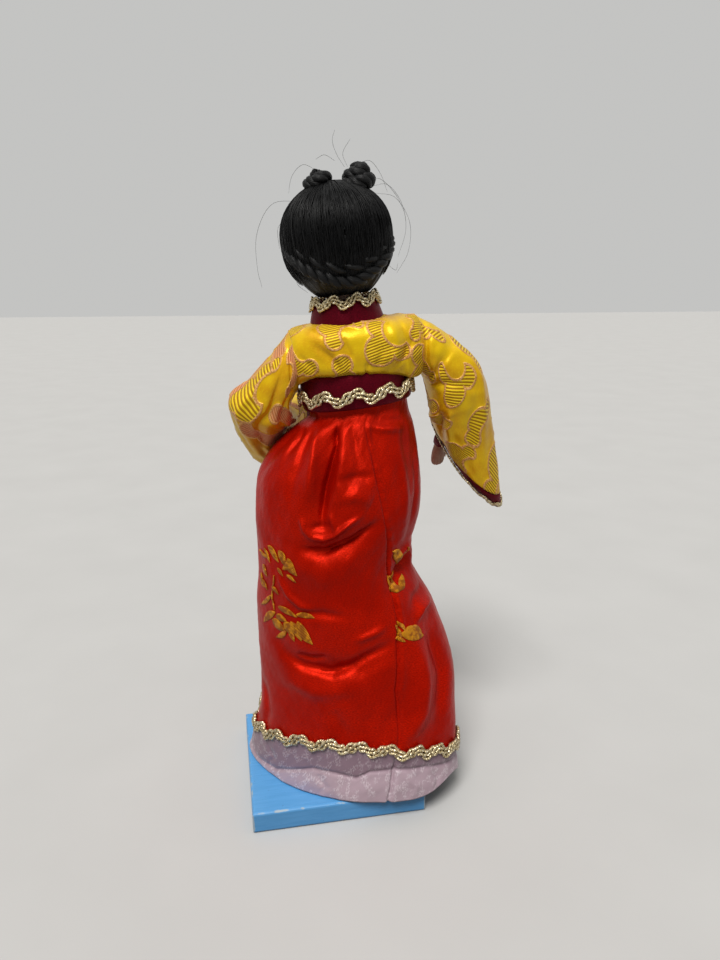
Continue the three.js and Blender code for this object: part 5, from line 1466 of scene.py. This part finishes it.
def make_head():
    """Head on its neck, with the face's paint worked out from each point's place on it."""
    spread = np.linspace(-1, 1, 300, endpoint=False)
    turn = -np.pi / 2 + np.pi * (0.45 * spread + 0.55 * spread ** 3)[None, :]
    height = np.linspace(-0.485, 0.485, 230)[:, None] * np.pi
    points = head_point(turn, height, 0.0)
    x, z = points[..., 0], points[..., 2] - HEAD_Z
    facing = points[..., 1] < -HEAD_FORWARD - 3
    eye_x = np.abs(x) - EYE_X
    eye_z = z - EYE_Z - 0.1 * eye_x
    lid = EYE_HALF_HEIGHT * (1 - np.clip(np.abs(eye_x) / EYE_HALF_WIDTH, 0, 1) ** 2)
    white = smooth_step(lid - np.abs(eye_z), -0.05, 0.15) * facing
    iris = smooth_step(-np.hypot(eye_x, z - EYE_Z - 0.05), -0.85, -0.65) * white
    lash = np.exp(-((eye_z - lid - 0.1) / 0.22) ** 2) * smooth_step(-np.abs(eye_x), -2.4, -2.0)
    arch = z - BROW_Z + 0.12 * eye_x ** 2 - 0.05 * eye_x
    brow = np.exp(-(arch / 0.34) ** 2) * smooth_step(-np.abs(eye_x), -2.7, -2.0)
    bow = 0.55 - 0.12 * np.abs(x) + 0.18 * np.cos(x * 3.2)
    lip = smooth_step(bow - np.abs(z - LIP_Z), -0.08, 0.1) * (np.abs(x) < LIP_HALF_WIDTH) * facing
    blush = np.exp(-((np.abs(x) - CHEEK_X) / 2.6) ** 2 - ((z - CHEEK_Z) / 2.4) ** 2) * facing
    paint = {"ink": np.clip(iris + (lash + 0.85 * brow) * facing, 0, 1), "lip": lip, "white": white, "blush": blush}
    face = make("painted_head", to_row(points), FACE, values=paint)
    neck_z = np.linspace(26.4, HEAD_Z - 8, 40)
    reach = 5.3 + 0.5 * smooth_step(neck_z, 40, 46)[:, None]
    rows = oval(np.stack([0 * neck_z, 0 * neck_z, neck_z], -1), reach * (1, 0, 0), reach * (0, 1, 0), 64)
    neck = make("painted_neck", to_row(rows), FACE, values={key: np.zeros(rows.shape[:2]) for key in paint})
    joined("doll_head", [face, neck], "head", "head")


def hair_point(turn, height, grow):
    """Hair: a fuller egg round the head, which tapers towards the nape and stays full down to it: below its
    middle it is as wide as sqrt(1 - level^2.7)."""
    level = np.sin(height)
    round_it = np.where(level > 0, np.cos(height), np.sqrt(1 - np.abs(level) ** 2.7))
    reach = np.where(level > 0, HAIR_TOP - HAIR_WIDEST_Z, HAIR_TAPER) + grow
    nape = 1 - 0.12 * smooth_step(-level, 0.3, 0.85)
    x = (HEAD_HALF_WIDTH + HAIR_THICKNESS + grow) * nape * round_it * np.cos(turn)
    y = (HEAD_HALF_DEPTH + HAIR_THICKNESS * 0.8 + grow) * round_it * np.sin(turn)
    return np.stack(np.broadcast_arrays(x, y, HAIR_WIDEST_Z + reach * level), -1)


def combed(turn, height):
    """Relief of the combed hair: locks that follow the strands from the crown, wider ones first."""
    around = np.stack(np.broadcast_arrays(np.cos(turn) * 17, np.sin(turn) * 17, 0 * height), -1)
    sway = np.stack(np.broadcast_arrays(np.cos(turn) * 17, np.sin(turn) * 17, height * 8), -1)
    return 0.38 * ripple(around, 5.5, 121) + 0.2 * ripple(around, 1.9, 122) + 0.25 * ripple(sway, 9, 123)


def make_hair_cap():
    """Hair over the back, sides and top: rows run from the hairline back to the middle of the back, as
    rings about the front-to-back axis."""
    around = angles(340)[None, :]
    half_height = (FACE_TOP - FACE_FOOT) / 2
    ring_x = FACE_HALF_WIDTH * np.cos(around)
    ring_z = half_height * np.sin(around) + FACE_TOP - half_height - HAIR_WIDEST_Z
    wide = HEAD_HALF_WIDTH + HAIR_THICKNESS
    tall = np.where(ring_z > 0, HAIR_TOP - HAIR_WIDEST_Z, HAIR_TAPER)
    start = np.arcsin(np.clip(np.hypot(ring_x / wide, ring_z / tall), 0, 0.96))
    direction = np.arctan2(ring_z / tall, ring_x / wide)
    share = np.linspace(0, 1, 150)[:, None]
    polar = start + (0.985 * np.pi - start) * share
    x, y, z = np.sin(polar) * np.cos(direction), -np.cos(polar), np.sin(polar) * np.sin(direction)
    turn, height = np.arctan2(y, x), np.arcsin(np.clip(z, -1, 1))

    def wall(relief, skip):
        points = hair_point(turn, height, relief - 0.9 * np.exp(-(share / 0.02) ** 2))
        points[..., 2] = np.maximum(points[..., 2], HAIR_FOOT)
        return points[::skip]

    def round_trip(value):
        """Values of the outer wall, then of the inner one backwards, closed both ways."""
        rows = np.concatenate([value, value[::4][::-1], value[:1]])
        return np.concatenate([rows, rows[:, :1]], 1)

    rows = shell(wall(combed(turn, height), 1), wall(-2.6, 4))
    uv = np.stack([round_trip(turn * 17), round_trip(height * 18)], -1)
    make("combed_hair", to_row(rows), HAIR, "head", "hair_cap", ring=True, uv=uv)


def strand_mesh(name, paths, radius, sides):
    """Many thin tubes in one mesh: each path is carried by a ring of points at every step."""
    tangent = unit(np.gradient(paths, axis=1))
    first = unit(np.cross(tangent, (0.13, 0.21, 0.97)))
    second = np.cross(tangent, first)
    a = angles(sides)
    taper = np.sin(np.pi * np.linspace(0.06, 0.94, paths.shape[1])) ** 0.4
    around = first[:, :, None] * np.cos(a)[:, None] + second[:, :, None] * np.sin(a)[:, None]
    points = paths[:, :, None] + radius * taper[None, :, None, None] * around
    count, steps = paths.shape[:2]
    r, s, c = np.meshgrid(np.arange(count), np.arange(steps - 1), np.arange(sides), indexing="ij")
    base = (r * steps + s) * sides
    quads = np.stack([base + c, base + (c + 1) % sides, base + sides + (c + 1) % sides, base + sides + c], -1)
    faces = quads.reshape(-1, 4).tolist()
    for step, order in ((0, -1), (steps - 1, 1)):
        corner = (np.arange(count) * steps + step)[:, None] * sides
        faces += (corner + np.arange(sides)[None, ::order]).tolist()
    mesh = bpy.data.meshes.new(name)
    mesh.from_pydata((to_row(points.reshape(-1, 3)) * MM).tolist(), [], faces)
    loops = np.zeros(len(mesh.loops), int)
    mesh.loops.foreach_get("vertex_index", loops)
    uv = np.stack([loops // (steps * sides) * 0.31, loops // sides % steps * 0.8], -1)
    mesh.uv_layers.new(name="UVMap").data.foreach_set("uv", uv.astype(np.float32).ravel())
    add_piece(name, mesh, HAIR, "head")


def make_strands():
    """Loose strands over the combed hair, from the crown down to the nape, clear of the face."""
    random = np.random.default_rng(131)

    def draw(low, high):
        return random.uniform(low, high, 900)[:, None]

    turn, start, end = draw(-0.62, np.pi + 0.62), draw(1.32, 1.5), draw(-0.72, 0.2)
    share = np.linspace(0, 1, 16)[None, :]
    wander, phase = random.normal(0, 0.07, 900)[:, None], draw(0, 6)
    drift = wander * share + 0.02 * np.sin(share * 7 + phase)
    loose, bulge = draw(0, 0.5), draw(0, 1)
    lift = 0.25 + loose + 0.35 * np.sin(np.pi * share) * bulge
    paths = hair_point(turn + drift, start + (end - start) * share, lift)
    paths[..., 2] = np.maximum(paths[..., 2], HAIR_FOOT + 0.3)
    strand_mesh("hair_strands", paths, 0.15, 3)


STRAY_HAIRS = [
    # points (x, y, z) of the upper body
    [(11, 8, 66), (20, 9, 66), (26, 9, 58), (27.5, 9, 48), (27, 9, 42)],
    [(-13, 6, 66), (-19, 7, 64), (-23, 7, 56), (-21.5, 7, 47), (-17, 7, 41)],
    [(-12, 7, 68), (-17, 7, 68), (-21, 7, 62), (-21.5, 7, 54), (-18, 7, 46)],
    [(-11, 5, 70), (-15, 6, 70), (-19.5, 6, 65), (-22, 6, 59)],
    [(-9, 3, 75), (-13, 3, 76), (-16, 3, 72), (-17.5, 4, 66)],
    [(-5, 2, 75), (-3, 2, 79), (-2.2, 2, 83), (-3.4, 2, 86)],
    [(-6, 2, 75), (-5, 2, 79), (-8, 2, 83)],
    [(4, 2, 75), (8, 2, 77), (12, 3, 74), (14, 4, 69)],
    [(14, 9, 46), (16, 10, 42), (13, 10, 38.6)],
    [(-13, 9, 45), (-16, 10, 42), (-17, 10, 44)],
    [(16, 4, 62), (19, 5, 59), (19.5, 6, 53)],
    [(-2, 3, 77), (1, 3, 79), (4, 3, 78)],
]


def make_stray_hairs():
    """Single hairs that stand off the head."""
    strand_mesh("stray_hairs", np.array([through(points, 22) for points in STRAY_HAIRS]), 0.05, 4)


def twisted_lock(name, path, radius, plies, pitch, node=None):
    """Lock of hair twisted from a few plies, each a round bundle that winds about the path; the radius may
    change along it, and fine combed ridges run along each ply."""
    up = (0.1, 0.2, 1.0)
    first, second = square_to(path, up)
    run, swing = run_along(path), radius * 0.5
    parts = []
    for k in range(plies):
        turn = FULL_TURN * (run / pitch + k / plies)
        centre = path + (swing * np.cos(turn))[:, None] * first + (swing * np.sin(turn))[:, None] * second
        rows = tube(centre, radius * 0.6, 26, up, 9, 0.06, pitch * 1.3)
        parts.append(make(f"{name}_{k}", to_row(rows), HAIR))
    joined(name, parts, "head", node)


def make_nape_locks():
    """Twisted locks that sweep down from each ear: three plies low on the nape, and two above them."""
    turn = np.linspace(-0.2, np.pi + 0.2, 150)
    swell = 0.45 + 0.55 * np.sin(np.pi * np.linspace(0, 1, 150)) ** 0.6
    behind = np.maximum(0, np.sin(turn))
    lower = hair_point(turn, -0.12 - 0.66 * behind ** 1.5, -0.5)
    lower[:, 2] = np.maximum(lower[:, 2], HAIR_FOOT + 1.8)
    twisted_lock("nape_locks", lower, 2.3 * swell, 3, 10, "hair_nape_roll")
    upper = hair_point(turn, 0.02 - 0.56 * behind ** 1.7, -0.7)
    twisted_lock("side_locks", upper, 1.6 * swell, 2, 12)


def make_bun(name, side, size):
    """Knob of hair: a twisted lock coiled nearly twice round, closing on its own top."""
    x = -2.6 + side * 6.3
    steps = np.linspace(0, 1, 130)
    turn = FULL_TURN * 1.9 * steps + 0.8 * side
    coil = np.interp(steps, [0, 0.5, 0.85, 1], [3.2, 2.9, 1.6, 0.3]) * size
    rise = np.interp(steps, [0, 1], [HAIR_TOP - 2.6, HAIR_TOP + 3.3 * size])
    path = np.stack([x + coil * np.cos(turn), 2 + coil * np.sin(turn), rise], -1)
    path = path + 0.5 * ripple(path, 4, 141)[:, None] * (1, 1, 0.6)
    radius = np.interp(steps, [0, 0.1, 0.85, 1], [1.4, 2.2, 2.1, 1.4]) * size
    twisted_lock(f"hair_knob_{name}", path, radius, 3, 6.5, f"hair_bun_{name}")


# Camera, light and floor

def make_camera():
    """Camera at the photo's place: behind the doll and a little above its shoulders, looking down."""
    camera_data = bpy.data.cameras.new("camera")
    camera = bpy.data.objects.new("camera", camera_data)
    bpy.context.scene.collection.objects.link(camera)
    camera_data.sensor_width = CAMERA_SENSOR
    camera_data.lens = CAMERA_LENS
    camera_data.clip_start = 0.01
    camera.location = CAMERA_PLACE
    camera.rotation_euler = (math.pi / 2 - CAMERA_PITCH, 0, math.pi - CAMERA_HEADING)
    bpy.context.scene.camera = camera


def make_world():
    """A room that is bright overhead and dim at eye level, with a pale backdrop where the studio shows."""
    bpy.context.scene.view_settings.view_transform = "Standard"
    world = bpy.data.worlds.new("studio")
    bpy.context.scene.world = world
    world.use_nodes = True
    w = Nodes(world.node_tree)
    height = w.node("ShaderNodeSeparateXYZ", {0: w.node("ShaderNodeTexCoord", {}, "Generated")}, "Z")
    room = w.blend(w.step(height, 0.15, 0.95), (0.05, 0.05, 0.055, 1), (0.62, 0.62, 0.6, 1))
    backdrop = w.blend(w.step(height, 0.35, 0.95), (0.55, 0.55, 0.54, 1), (1, 1, 0.98, 1))
    w.end("ShaderNodeOutputWorld", w.node("ShaderNodeBackground", {0: w.blend(w.seen_rays(), room, backdrop)}))


def make_light():
    """One wide light from the upper left behind the camera."""
    key = bpy.data.lights.new("key", "SUN")
    key.energy = LIGHT_STRENGTH
    key.angle = LIGHT_SPREAD
    key.color = (1, 0.98, 0.95)
    light = bpy.data.objects.new("key", key)
    light.rotation_euler = (0, LIGHT_TILT, LIGHT_HEADING)
    bpy.context.scene.collection.objects.link(light)


def make_floor():
    """Floor that shows pale and lights the doll from below only a little."""
    corners = [(x * FLOOR_HALF_WIDTH, y * FLOOR_HALF_WIDTH, 0) for x, y in ((-1, -1), (1, -1), (1, 1), (-1, 1))]
    mesh = bpy.data.meshes.new("floor")
    mesh.from_pydata(corners, [], [(0, 1, 2, 3)])
    floor = bpy.data.objects.new("floor", mesh)
    f = Finish("floor", Roughness=0.9, Specular_IOR_Level=0.02)
    mottle = f.noise(f.place(), 0.02, 3)
    pale = f.blend(mottle, (0.54, 0.536, 0.528, 1), (0.59, 0.586, 0.578, 1))
    f.put(Base_Color=f.blend(f.seen_rays(), (0.2, 0.197, 0.19, 1), pale))
    mesh.materials.append(f.material)
    bpy.context.scene.collection.objects.link(floor)


make_camera()
make_world()
make_light()
make_floor()
dress_solids()
make_body()
make_skirt()
make_hem_braid()
make_embroidery()
make_bands()
make_jacket()
make_front()
for side_name in SLEEVES:
    make_arm(side_name)
    make_sleeve(side_name)
make_head()
make_hair_cap()
make_strands()
make_nape_locks()
make_bun("left", 1, 0.95)
make_bun("right", -1, 1.06)
make_stray_hairs()
